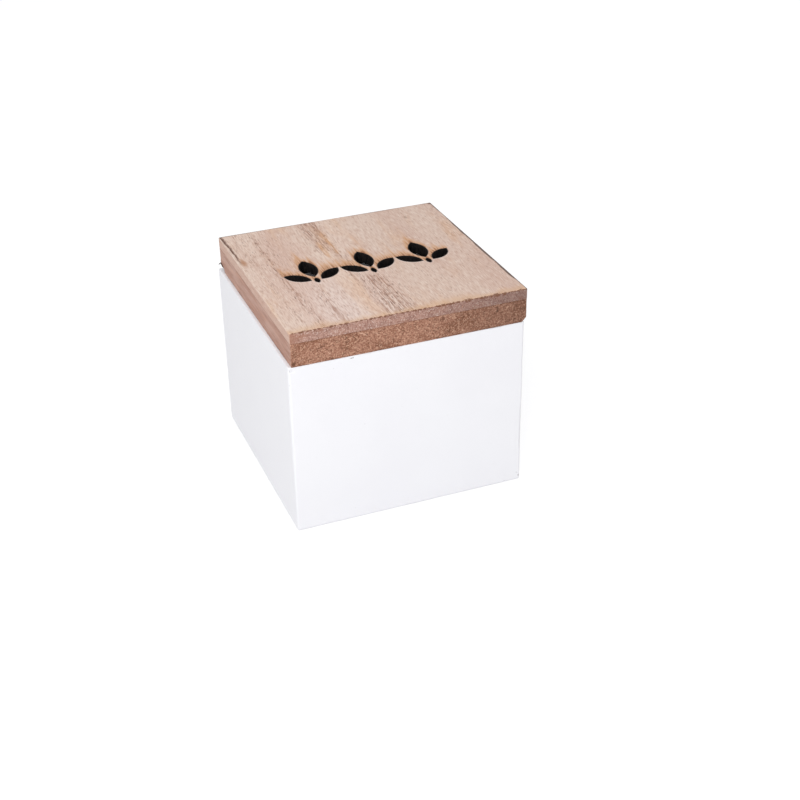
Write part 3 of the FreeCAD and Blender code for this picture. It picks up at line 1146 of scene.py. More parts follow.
@dataclass
class FibreFrame:
    """The lid's thick lower layer, one ring of pressed fibreboard with worn corners."""

    outside: Extent
    inner: Extent
    corner: float = 0.5 * MM
    bevel: float = 0.22 * MM
    front_clip: tuple[float, float] = (2.2 * MM, 2.2 * MM)
    back_tear: tuple[float, float] = (5.6 * MM, 2.5 * MM)
    # millimetres from the front's low left corner, across and up, then radius and strength
    front_spots: tuple[tuple[float, float, float, float], ...] = (
        (1.1, 1.3, 0.9, 0.8),
        (21.6, 1.7, 0.7, 0.7),
        (16.6, 0.4, 0.6, 0.6),
        (8.9, 1.1, 0.5, 0.5),
        (35.5, 0.2, 0.6, 0.6),
    )
    finish: Fibreboard = field(default_factory=Fibreboard)

    def build(self) -> Piece:
        """Build the ring as one closed shell and dress it.

        Returns:
            The finished piece.
        """
        draft = MeshDraft()
        deep = (self.inner.low - self.outside.low)[:2]
        foot, top = self.outside.low[2], self.outside.high[2]
        sharp = 0.2 * MM
        round_off = [(self.bevel, 0.0), (0.3 * self.bevel, 0.3 * self.bevel)]
        levels = [(inset, self.corner, foot + rise) for inset, rise in round_off]
        heights = np.linspace(foot + self.bevel, top - self.bevel, 19)
        levels += [(0.0, self.corner, height) for height in heights]
        levels += [(inset, self.corner, top - drop) for inset, drop in reversed(round_off)]
        levels += [(deep * share, sharp, top) for share in (0.3, 0.65, 1.0)]
        levels += [(deep, sharp, height) for height in np.linspace(top, foot, 5)[1:]]
        levels += [(deep * share, sharp, foot) for share in (0.65, 0.3)]
        draft.stack(Outline(self.outside, 0.62 * MM, 0.32 * MM, 3.2 * MM), levels, closed=True)
        piece = draft.to_object("fibreboard_frame")
        carve(piece, self._rough)
        self._clip(piece)
        self._mark(piece)
        return settle(piece, Side.nodes("lid_frame"), self.finish.make(), SHARP_FROM)

    def _rough(self, places: Rows, outward: Rows) -> Rows:
        """Give the depth of the fibrous surface: coarse on the ends, fine on the sides.

        Args:
            places: Points of the piece.
            outward: Their outward directions.

        Returns:
            Metres inwards at each point.
        """
        flat = places[:, :2]
        inside = ((flat > self.inner.low[:2] - MM) & (flat < self.inner.high[:2] + MM)).all(axis=1)
        coarse = noise_at(places, 900.0, Pattern.FIBRE) * 0.6
        coarse += noise_at(places, 330.0, Pattern.CLUMPS) * 0.4
        ends = np.abs(outward[:, 1])
        depth = 0.10 * MM + (0.07 * ends + 0.03) * MM * coarse
        foot_edge = (outward[:, 2] < -0.2) & (outward[:, 2] > -FLAT)
        depth += foot_edge * 0.35 * MM * ease(0.25, 0.9, noise_at(places, 260.0, Pattern.FOOT_EDGE))
        low = self.outside.low
        arris = ease(2.2 * MM, 0.4 * MM, np.hypot(places[:, 0] - low[0], places[:, 1] - low[1]))
        worn = noise_at(places, (500.0, 500.0, 420.0), Pattern.ARRIS)
        depth += arris * np.maximum(0.06 + 0.22 * worn, -0.06) * MM
        level = np.abs(outward[:, 2]) > FLAT
        return np.where(inside | level, 0.0, np.maximum(depth, 0.0))

    def _clip(self, piece: Piece) -> None:
        """Knock off the lower front right corner and tear out the lower back left one.

        Args:
            piece: The ring.
        """
        places, _ = corner_points(piece)
        low, high = self.outside.low, self.outside.high
        width, height = self.front_clip
        slope = np.array([1 / width, 0.0, -1 / height])
        over = (places[:, 0] - high[0]) / width - (places[:, 2] - low[2]) / height + 1.0
        over = np.maximum(over, 0.0) * ease(low[1] + 9 * MM, low[1] + 5 * MM, places[:, 1])
        over *= 1.0 + 0.12 * noise_at(places, 700.0, Pattern.CLIP)
        places = places - (over / np.dot(slope, slope))[:, None] * slope
        fade = 1.0 - (places[:, 2] - low[2]) / (2.2 * self.back_tear[1])
        places[:, 2] += self._torn(places) * np.clip(fade, 0.0, 1.0)
        move_points(piece, places)

    def _torn(self, places: Rows) -> Rows:
        """Measure the hole that is torn out of the back left corner.

        Args:
            places: Points of the ring.

        Returns:
            The hole's height, in metres, below each point.
        """
        width, height = self.back_tear
        part = np.clip((self.outside.high[1] - places[:, 1]) / width, 0.0, 1.0)
        ragged = 1.0 + 0.10 * noise_at(places * [1.0, 1.0, 0.0], (700.0, 1100.0, 1.0), Pattern.TEAR)
        near = ease(self.outside.low[0] + 4.5 * MM, self.outside.low[0] + 2.5 * MM, places[:, 0])
        return height * (1.0 - part**3) * ragged * near

    def _mark(self, piece: Piece) -> None:
        """Keep where the surface is smooth, and where it is darkened: stains, the torn edge, the seam, and
        painted shade along the foot.

        Args:
            piece: The ring.
        """
        places, outward = corner_points(piece)
        store(piece, "side", ease(0.55, 0.85, np.abs(outward[:, 0])))
        left, front, foot = self.outside.low
        darkening = np.zeros(len(places))
        for across, up, radius, strength in self.front_spots:
            spot = np.array((left + across * MM, front, foot + up * MM))
            away = np.linalg.norm(places - spot, axis=1) / (radius * MM)
            darkening = np.maximum(darkening, strength * ease(1.2, 0.4, away))
        torn = self._torn(places)
        rise = places[:, 2] - foot
        darkening = np.maximum(darkening, 0.9 * ease(0.5 * MM, 0.15 * MM, rise - torn) * (torn > 0.1 * MM))
        seam = ease(0.35 * MM, 0.05 * MM, self.outside.high[2] - places[:, 2])
        # painted shade: a patchy dark band along the frame's lower edge
        patchy = noise_at(places, (300.0, 300.0, 1.0), Pattern.BRINK)
        painted_foot_shade = ease(0.55 * MM, 0.15 * MM, rise) * ease(-0.3, 0.5, patchy)
        store(piece, "darkening", np.maximum.reduce([darkening, 0.35 * seam, 0.55 * painted_foot_shade]))


@dataclass
class RimStrips:
    """The strips that line the frame and hang inside the walls, as one ring."""

    outside: Extent
    inner: Extent
    corner: float = 0.25 * MM
    bevel: float = 0.35 * MM
    # painted shade: a darker copy of the fibreboard colours, for strips that sit in the shade inside the lid
    finish: Fibreboard = field(
        default_factory=lambda: Fibreboard(
            "rim_board",
            base=linear(74, 50, 40),
            warm=linear(56, 38, 31),
            pale=linear(66, 46, 38),
            blush=linear(56, 40, 33),
            speck=linear(24, 16, 13),
            strand=linear(96, 68, 55),
        )
    )

    def build(self) -> Piece:
        """Build the ring as one closed shell and dress it.

        Returns:
            The finished piece.
        """
        draft = MeshDraft()
        deep = self.inner.low[0] - self.outside.low[0]
        foot, top = self.outside.low[2], self.outside.high[2]
        rows = [(self.bevel, foot), (0.0, foot + self.bevel)]
        rows += [(0.0, height) for height in np.linspace(foot + self.bevel, top, 10)[1:]]
        rows += [(0.5 * deep, top)]
        rows += [(deep, height) for height in np.linspace(top, foot + self.bevel, 10)]
        rows += [(deep - self.bevel, foot)]
        levels = [(inset, self.corner, height) for inset, height in rows]
        draft.stack(Outline(self.outside, 2.0 * MM, 0.6 * MM, 2.4 * MM, 3), levels, closed=True)
        piece = draft.to_object("rim_strips")
        carve(piece, self._rough)
        places, outward = corner_points(piece)
        store(piece, "side", np.abs(outward[:, 0]))
        # painted shade: darker towards the top, deeper inside the lid
        store(piece, "darkening", 0.5 * ease(foot + 3 * MM, top, places[:, 2]))
        return settle(piece, Side.nodes("rim"), self.finish.make(), SHARP_FROM)

    def _rough(self, places: Rows, outward: Rows) -> Rows:
        """Give a fine tooth to the sawn faces."""
        tooth = 0.5 + 0.5 * noise_at(places, 700.0, Pattern.SAWN)
        return 0.05 * MM * tooth * (np.abs(outward[:, 2]) < 0.9)


# ---------------------------------------------------------------- the leaf sprigs


@dataclass(frozen=True)
class Leaf:
    """A pointed leaf between two equal arcs, seen from above."""

    base: tuple[float, float]
    angle: float
    length: float
    width: float

    @property
    def _arc(self) -> tuple[float, float]:
        """The radius of the two arcs, and how far their centres lie from the leaf's middle line."""
        radius = (self.length**2 + self.width**2) / (4 * self.width)
        return radius, radius - self.width / 2

    @property
    def _turned(self) -> Rows:
        """The leaf's own two directions, along it and across it."""
        cos, sin = math.cos(math.radians(self.angle)), math.sin(math.radians(self.angle))
        return np.array([[cos, sin], [-sin, cos]])

    def loop(self, outset: float = 0.0, spacing: float = 0.35 * MM) -> Rows:
        """Sample the outline once round.

        Args:
            outset: How far outside the leaf the loop lies; below 0 is inside.
            spacing: Rough distance between samples.

        Returns:
            One row of x and y for each sample, from the base up the right side.
        """
        radius, reach = self._arc
        half = math.acos(reach / (radius + outset))
        steps = max(8, round(self.length / spacing))
        turn = np.linspace(-half, half, steps + 1)
        along = self.length / 2 + (radius + outset) * np.sin(turn)
        across = (radius + outset) * np.cos(turn) - reach
        local = np.concatenate([np.c_[along, -across][:-1], np.c_[along, across][::-1][:-1]])
        return np.array(self.base) + local @ self._turned

    def depth(self, places: Rows) -> Rows:
        """Measure how far flat places lie inside the leaf.

        Args:
            places: Rows of x and y.

        Returns:
            Metres to the outline; below 0 is outside.
        """
        along, across = self._turned @ (places - np.array(self.base)).T
        radius, reach = self._arc
        return radius - np.hypot(along - self.length / 2, np.abs(across) + reach)


@dataclass(frozen=True)
class Sprig:
    """One leaf sprig: a short stem, a tall bud and two side leaves."""

    foot: tuple[float, float]
    stem_length: float = 4.8 * MM
    stem_width: float = 2.2 * MM
    bud_length: float = 16.4 * MM
    bud_width: float = 7.4 * MM
    leaf_length: float = 12.2 * MM
    leaf_width: float = 5.8 * MM
    leaf_rise: float = 2.9 * MM
    leaf_spread: float = 49.0
    bridge: float = 1.2 * MM

    @property
    def height(self) -> float:
        """From the foot of the stem to the tip of the bud."""
        return self.stem_length + self.bridge + self.bud_length

    @property
    def half_width(self) -> float:
        """From the stem's middle to the tip of a side leaf."""
        run = self.leaf_length * math.sin(math.radians(self.leaf_spread))
        return self.stem_width / 2 + self.bridge + run

    def leaves(self) -> list[Leaf]:
        """Lay out the four cut-outs.

        Returns:
            The stem, the bud and the two side leaves.
        """
        x, y = self.foot
        offset = self.stem_width / 2 + self.bridge
        size = (self.leaf_length, self.leaf_width)
        return [
            Leaf((x, y), 90.0, self.stem_length, self.stem_width),
            Leaf((x, y + self.stem_length + self.bridge), 90.0, self.bud_length, self.bud_width),
            Leaf((x + offset, y + self.leaf_rise), 90.0 - self.leaf_spread, *size),
            Leaf((x - offset, y + self.leaf_rise), 90.0 + self.leaf_spread, *size),
        ]


@dataclass(frozen=True)
class SprigRow:
    """The row of sprigs, centred on the board."""

    centre: tuple[float, float]
    count: int = 3
    gap: float = 1.4 * MM

    @property
    def pitch(self) -> float:
        """From one sprig to the next."""
        return 2 * Sprig((0.0, 0.0)).half_width + self.gap

    def sprigs(self) -> list[Sprig]:
        """Lay out the sprigs.

        Returns:
            The sprigs from left to right.
        """
        x, y = self.centre
        foot = y - Sprig((0.0, 0.0)).height / 2
        first = x - self.pitch * (self.count - 1) / 2
        return [Sprig((first + self.pitch * number, foot)) for number in range(self.count)]

    def leaves(self) -> list[Leaf]:
        """Give every cut-out of the row."""
        return [leaf for sprig in self.sprigs() for leaf in sprig.leaves()]


# ---------------------------------------------------------------- the top board


@dataclass(frozen=True)
class GrainBand:
    """A band along the board, in millimetres from its left edge and its front."""

    across: float
    half_width: float
    start: float
    stop: float
    strength: float


@dataclass
class TopBoard:
    """The thin board of light wood with the sprigs cut through it."""

    outside: Extent
    row: SprigRow
    corner: float = 0.5 * MM
    arris: float = 0.32 * MM
    crack_start: float = 1.6 * MM
    crack_length: float = 28.0 * MM
    # middle and reach of the painted pool of light on the top
    painted_light_middle: tuple[float, float] = (29.0 * MM, 12.0 * MM)
    painted_light_reach: tuple[float, float] = (17.0 * MM, 30.0 * MM)
    finish: LightWood = field(default_factory=LightWood)
    bands: tuple[GrainBand, ...] = (
        GrainBand(13.6, 1.7, -10.0, 110.0, 0.75),
        GrainBand(7.0, 3.5, 62.0, 110.0, 0.38),
        GrainBand(7.2, 0.8, 5.0, 60.0, 0.50),
        GrainBand(18.0, 1.4, 60.0, 110.0, 0.40),
        GrainBand(38.5, 5.5, 66.0, 110.0, 0.75),
        GrainBand(42.3, 1.6, 56.0, 104.0, 0.90),
        GrainBand(46.5, 6.5, -10.0, 38.0, 1.0),
        GrainBand(40.6, 0.9, -10.0, 60.0, 0.65),
        GrainBand(44.0, 3.0, 34.0, 62.0, 0.55),
        GrainBand(22.5, 3.6, -10.0, 36.0, 0.55),
        GrainBand(30.0, 2.0, -10.0, 30.0, 0.30),
        GrainBand(71.0, 4.0, -10.0, 36.0, 0.25),
        GrainBand(97.0, 3.0, 60.0, 110.0, 0.30),
    )
    smoke: tuple[GrainBand, ...] = (
        GrainBand(42.5, 1.5, 62.0, 88.0, 0.42),
        GrainBand(37.8, 1.0, 60.0, 77.0, 0.50),
        GrainBand(53.8, 2.6, 66.0, 80.0, 0.26),
        GrainBand(74.1, 1.1, 62.0, 70.0, 0.62),
    )

    # millimetres from the front left corner, across and along, then half sizes and strength
    knots: tuple[tuple[float, float, float, float, float], ...] = (
        (82.5, 88.1, 0.8, 2.3, 0.42),
        (99.0, 99.4, 2.0, 2.2, 0.9),
    )

    def build(self) -> Piece:
        """Build the board as one closed shell and dress it.

        Returns:
            The finished piece.
        """
        draft = MeshDraft()
        bottom, top = self.outside.low[2], self.outside.high[2]
        rows = [(0.12 * MM, bottom), (0.03 * MM, bottom + 0.05 * MM), (0.0, bottom + 0.2 * MM)]
        rows += [(0.0, height) for height in np.linspace(bottom + 0.65 * MM, top - 0.8 * MM, 7)]
        rows += [(0.0, top - self.arris), (0.12 * self.arris, top - 0.5 * self.arris)]
        rows += [(0.45 * self.arris, top - 0.14 * self.arris), (self.arris, top)]
        levels = [(inset, self.corner, height) for inset, height in rows]
        loops = draft.stack(Outline(self.outside, 0.45 * MM, 0.3 * MM, 2.4 * MM), levels)
        openings = [self._opening(draft, leaf, number) for number, leaf in enumerate(self.row.leaves())]
        draft.fill([loops[-1], *(walls[-1] for walls in openings)], self._top_points(draft))
        grid = self._clear(flat_grid(self.outside, 3 * MM, 26), 0.3 * MM)
        draft.fill([loops[0], *(walls[0] for walls in openings)], draft.add(at_height(grid, bottom)))
        piece = draft.to_object("top_board")
        self._mark(piece)
        carve(piece, self._rough)
        return settle(piece, ("lid_board",), self.finish.make(self.outside), 40.0)

    def _opening(self, draft: MeshDraft, leaf: Leaf, number: int) -> list[Rows]:
        """Add the wall of one cut-out.

        Args:
            draft: The board under way.
            leaf: The cut-out.
            number: Which one it is.

        Returns:
            Its loops of point numbers, from the underside up.
        """
        flat, cells, seed = leaf.loop(), (900.0, 900.0, 120.0), Pattern.OPENINGS + number
        heights = np.linspace(self.outside.low[2], self.outside.high[2], 5)
        walls = [draft.add(ripple(flat, height, 0.05 * MM, cells, seed)) for height in heights]
        draft.wall(walls)
        return walls

    def _top_points(self, draft: MeshDraft) -> Rows:
        """Add the points of the top face: closer together across the grain than along it.

        Args:
            draft: The board under way.

        Returns:
            The points' numbers.
        """
        low, high = self.outside.low[:2] + 0.7 * MM, self.outside.high[:2] - 0.7 * MM
        x = np.arange(low[0], high[0], 0.42 * MM)
        y = np.arange(low[1], high[1], 0.95 * MM)
        grid = np.stack(np.meshgrid(x, y), axis=-1)
        grid[1::2, :, 0] += 0.21 * MM
        outsets = (0.22 * MM, 0.5 * MM)
        rings = [leaf.loop(outset, 0.6 * MM) for leaf in self.row.leaves() for outset in outsets]
        steps = (-0.8, -0.5, -0.25, 0.0, 0.25, 0.5, 0.8)
        crack = np.concatenate([self._crack_line() + [step * MM, 0.0] for step in steps])
        flat = np.concatenate([grid.reshape(-1, 2), *rings, crack])
        flat = flat[(flat > low).all(axis=1) & (flat < high).all(axis=1)]
        return draft.add(at_height(self._clear(flat, 0.15 * MM), self.outside.high[2]))

    def _clear(self, flat: Rows, margin: float) -> Rows:
        """Keep the flat points that lie clear of every cut-out by a margin."""
        return flat[np.all([leaf.depth(flat) < -margin for leaf in self.row.leaves()], axis=0)]

    def _crack_line(self) -> Rows:
        """Sample the crack that runs from the back left corner forwards.

        Returns:
            Rows of x and y, from the back.
        """
        share = np.linspace(0.0, 1.0, 60)
        y = self.outside.high[1] - (self.crack_start + share * self.crack_length)
        sweep = 0.75 + 0.75 * np.sin(2.3 * share) + 0.12 * np.sin(share * 19.0) + 0.08 * np.sin(share * 47.0)
        return np.c_[self.outside.low[0] + sweep * MM, y]

    def _crack_off(self, places: Rows) -> tuple[Rows, Rows]:
        """Measure points against the crack.

        Args:
            places: Points of the board.

        Returns:
            Metres from each point to the crack's line, and how far along the crack
            the point lies, from 0 at the back to 1 at the end.
        """
        line = self._crack_line()[::-1]
        away = np.abs(places[:, 0] - np.interp(places[:, 1], line[:, 1], line[:, 0]))
        return away, (line[-1, 1] - places[:, 1]) / (line[-1, 1] - line[0, 1])

    def _mark(self, piece: Piece) -> None:
        """Keep the grain, the end grain, the scorch, the char and the crack at each point.

        Args:
            piece: The board.
        """
        places, outward = corner_points(piece)
        low, high = self.outside.low, self.outside.high
        store(piece, "figure", self._drawn(places, self.bands))
        store(piece, "end", ease(0.55, 0.85, np.abs(outward[:, 1])) * (self._inset(places) < 1.2 * MM))
        near, behind, rubbed = self._heat(places)
        behind = np.maximum(behind, self._drawn(places, self.smoke))
        level = (outward[:, 2] > 0.6) & (places[:, 2] > high[2] - 0.1 * MM)
        store(piece, "scorch", np.where(level, behind, 0.0))
        walls = (self._inset(places) > 2 * MM) & (near < 0.12 * MM)
        store(piece, "char", np.where(walls, 1.0, level * ease(0.26 * MM, 0.06 * MM, near) * 0.75))
        away, share = self._crack_off(places)
        open_by = ease((0.95 - 0.42 * share) * MM, (0.24 - 0.10 * share) * MM, away) * ease(1.13, 0.90, share)
        open_by *= 0.70 + 0.30 * noise_at(places * [0.0, 1.0, 0.0], (1.0, 420.0, 1.0), Pattern.CRACK)
        spot = places[:, :2] - (low[:2] + [2.5 * MM, 69.5 * MM])
        spot += [0.5, 1.2] * (0.8 * MM * noise_at(places, 600.0, Pattern.SPOT))[:, None]
        spot = ease(1.0, 0.0, np.hypot(spot[:, 0] / (2.1 * MM), spot[:, 1] / (7.0 * MM)))
        knot = np.zeros(len(places))
        for across, along, half_width, half_length, strength in self.knots:
            off = places[:, :2] - (low[:2] + [across * MM, along * MM])
            off = off / [half_width * MM, half_length * MM]
            knot = np.maximum(knot, strength * ease(1.0, 0.3, np.hypot(off[:, 0], off[:, 1])) * level)
        store(piece, "crack", np.maximum(open_by * (places[:, 2] > high[2] - 1.2 * MM), knot))
        store(piece, "spot", spot * level)
        # the pale patch at the front left is painted light; the pale wood in front of the cut-outs is rubbed
        patch = (places[:, :2] - (low[:2] + np.array(self.painted_light_middle))) / np.array(self.painted_light_reach)
        store(piece, "painted_light_and_rubbed", np.maximum(0.72 * np.exp(-(patch**2).sum(axis=1)), level * rubbed))

    def _inset(self, places: Rows) -> Rows:
        """Measure how far each point lies inside the board's outline."""
        inside = np.minimum(places[:, :2] - self.outside.low[:2], self.outside.high[:2] - places[:, :2])
        return inside.min(axis=1)

    def _drawn(self, places: Rows, bands: Sequence[GrainBand]) -> Rows:
        """Draw bands along the wandering grain.

        Args:
            places: Points of the board.
            bands: The bands to draw: open, streaky grain or smoke.

        Returns:
            The strongest band's share at each point, from 0 to 1.
        """
        drift = 1.1 * noise_at(places, (3.0, 22.0, 3.0), Pattern.DRIFT)
        drift += 0.35 * noise_at(places, 60.0, Pattern.WANDER)
        across = (places[:, 0] - self.outside.low[0]) / MM + drift
        wander = 5.0 * noise_at(places, (120.0, 4.0, 120.0), Pattern.BAND_ENDS)
        along = (places[:, 1] - self.outside.low[1]) / MM + wander
        total, fade = np.zeros(len(places)), 5.0
        for band in bands:
            share = np.exp(-(((across - band.across) / band.half_width) ** 2))
            share *= ease(band.start - fade, band.start + fade, along)
            share *= ease(band.stop + fade, band.stop - fade, along)
            total = np.maximum(total, band.strength * share)
        return total

    def _heat(self, places: Rows) -> tuple[Rows, Rows, Rows]:
        """Work out what the laser has done round the cut-outs.

        Args:
            places: Points of the board.

        Returns:
            Metres to the nearest cut-out, the scorch behind the cut-outs from 0 to 1,
            and how far the wood in front of them is rubbed pale.
        """
        near = np.full(len(places), 1.0)
        heat, rubbed = np.zeros(len(places)), np.zeros(len(places))
        flare = 1.0 + 0.75 * noise_at(places * [1.0, 0.0, 0.0], (420.0, 1.0, 1.0), Pattern.FLARE)
        flare += 0.45 * noise_at(places * [1.0, 0.0, 0.0], (1300.0, 1.0, 1.0), Pattern.LICKS)
        flare = np.maximum(flare, 0.3)
        for leaf in self.row.leaves():
            cut = leaf.loop(0.0, 0.4 * MM)
            run = np.roll(cut, -1, axis=0) - np.roll(cut, 1, axis=0)
            facing = -run[:, 0] / np.linalg.norm(run, axis=1)
            close = np.abs(places[:, 0] - cut[:, 0].mean()) < 12 * MM
            near[close] = np.minimum(near[close], np.abs(leaf.depth(places[close, :2])))
            away = places[close, None, :2] - cut[None, facing > 0.1]
            reach = np.where(away[:, :, 1] > 0, 5.0 * flare[close, None], 0.25) * MM
            spread = np.hypot(away[:, :, 0] / (0.6 * MM), away[:, :, 1] / reach).min(axis=1)
            heat[close] = np.maximum(heat[close], np.exp(-(spread**1.2)))
            away = np.linalg.norm(places[close, None, :2] - cut[None, facing < -0.35], axis=2).min(axis=1)
            rubbed[close] = np.maximum(rubbed[close], 0.7 * ease(0.9 * MM, 0.3 * MM, away))
        return near, heat, rubbed

    def _rough(self, places: Rows, outward: Rows) -> Rows:
        """Give the depth of the open grain, the crack and the worn front edge.

        Args:
            places: Points of the piece.
            outward: Their outward directions.

        Returns:
            Metres inwards at each point.
        """
        low, high = self.outside.low, self.outside.high
        figure = self._drawn(places, self.bands)
        level = np.clip(outward[:, 2], 0.0, 1.0) * (self._inset(places) > 0.5 * MM)
        groove = noise_at(places, (900.0, 45.0, 900.0), Pattern.GROOVE)
        depth = level * MM * (0.02 + (0.02 + 0.05 * figure) * ease(0.0, 0.8, groove))
        away, share = self._crack_off(places)
        split = ease(0.45 * MM, 0.05 * MM, away) * ease(1.0, 0.7, share)
        depth += split * 0.55 * MM * (outward[:, 2] > 0.5)
        upright = np.abs(outward[:, :2]).max(axis=1) * (self._inset(places) < 1.0 * MM)
        pits = noise_at(places, 1100.0, Pattern.PITS)
        depth += upright * MM * (0.03 + 0.03 * pits * np.abs(outward[:, 1]))
        edge = (places[:, 2] > high[2] - 1.2 * MM) * (places[:, 1] < low[1] + 1.0 * MM)
        chips = ease(0.25, 0.8, noise_at(places, (420.0, 300.0, 300.0), Pattern.EDGE_CHIPS))
        depth += edge * chips * 0.28 * MM
        return depth


# ---------------------------------------------------------------- what repeats


class GeometryTree(Wiring):
    """A Geometry Nodes tree with named inputs, whose result becomes a plain mesh."""

    def __init__(self, name: str) -> None:
        """Start a tree with a geometry input and output.

        Args:
            name: Name of the tree.
        """
        super().__init__(bpy.data.node_groups.new(name, "GeometryNodeTree"))
        for way in ("INPUT", "OUTPUT"):
            self.tree.interface.new_socket("Geometry", in_out=way, socket_type="NodeSocketGeometry")
        self._values: dict[str, object] = {}
        self._start = self.node("NodeGroupInput", {})

    def size(self, name: str, kind: str, value: object) -> None:
        """Declare a named input of the tree and the value that the modifier gives it."""
        socket = self.tree.interface.new_socket(name, in_out="INPUT", socket_type=kind)
        self._values[socket.identifier] = value

    def given(self, name: str) -> Socket:
        """Find the socket of a named input."""
        return self._start.outputs[name]

    def finish(self, instances: Socket, material: Material) -> None:
        """End the tree: make the instances real and give them their material.

        Args:
            instances: The instances.
            material: Their material.
        """
        real = self.node("GeometryNodeRealizeInstances", {"Geometry": instances})
        dressed = self.node("GeometryNodeSetMaterial", {"Geometry": real.outputs[0], "Material": material})
        self.node("NodeGroupOutput", {"Geometry": dressed.outputs[0]})

    def bake(self, piece: Piece) -> None:
        """Run the tree on a piece and keep the result as its plain mesh.

        Args:
            piece: Object whose mesh goes into the tree.
        """
        modifier = piece.modifiers.new(self.tree.name, "NODES")
        modifier.node_group = self.tree
        for identifier, value in self._values.items():
            modifier[identifier] = value
        graph = bpy.context.evaluated_depsgraph_get()
        plain = bpy.data.meshes.new_from_object(piece.evaluated_get(graph))
        piece.modifiers.clear()
        piece.data = plain


@dataclass
class CharredLining:
    """The black crust on the walls of the cut-outs, made for one sprig and repeated along the row."""

    board: Extent
    row: SprigRow
    thickness: float = 0.14 * MM
    bite: float = 0.06 * MM
    finish: Char = field(default_factory=Char)

    def build(self) -> Piece:
        """Build the crust of the whole row.

        Returns:
            The finished piece.
        """
        draft = MeshDraft()
        foot, top = self.board.low[2] + 0.03 * MM, self.board.high[2] - 0.05 * MM
        for leaf in Sprig((0.0, 0.0)).leaves():
            outer, inner = leaf.loop(self.bite), leaf.loop(-self.thickness)
            rows = [at_height(outer, height) for height in (foot, top)]
            for height in np.linspace(top, foot, 6):
                rows.append(ripple(inner, height, 0.05 * MM, (1500.0, 1500.0, 500.0), Pattern.CRUST))
            draft.wall([draft.add(row) for row in rows], closed=True)
        piece = draft.to_object("charred_lining")
        tree = GeometryTree("sprig_row")
        tree.size("Sprigs", "NodeSocketInt", self.row.count)
        tree.size("Pitch", "NodeSocketFloat", self.row.pitch)
        tree.size("First Foot", "NodeSocketVector", (*self.row.sprigs()[0].foot, 0.0))
        step = tree.node("ShaderNodeCombineXYZ", {"X": tree.given("Pitch")})
        inputs = {"Count": tree.given("Sprigs"), "Start Location": tree.given("First Foot")}
        inputs |= {"Offset": step.outputs[0]}
        line = tree.node("GeometryNodeMeshLine", inputs, mode="OFFSET", count_mode="TOTAL")
        inputs = {"Points": line.outputs[0], "Instance": tree.given("Geometry")}
        tree.finish(tree.node("GeometryNodeInstanceOnPoints", inputs).outputs[0], self.finish.make())
        tree.bake(piece)
        return settle(piece, (), sharp_from=60.0)


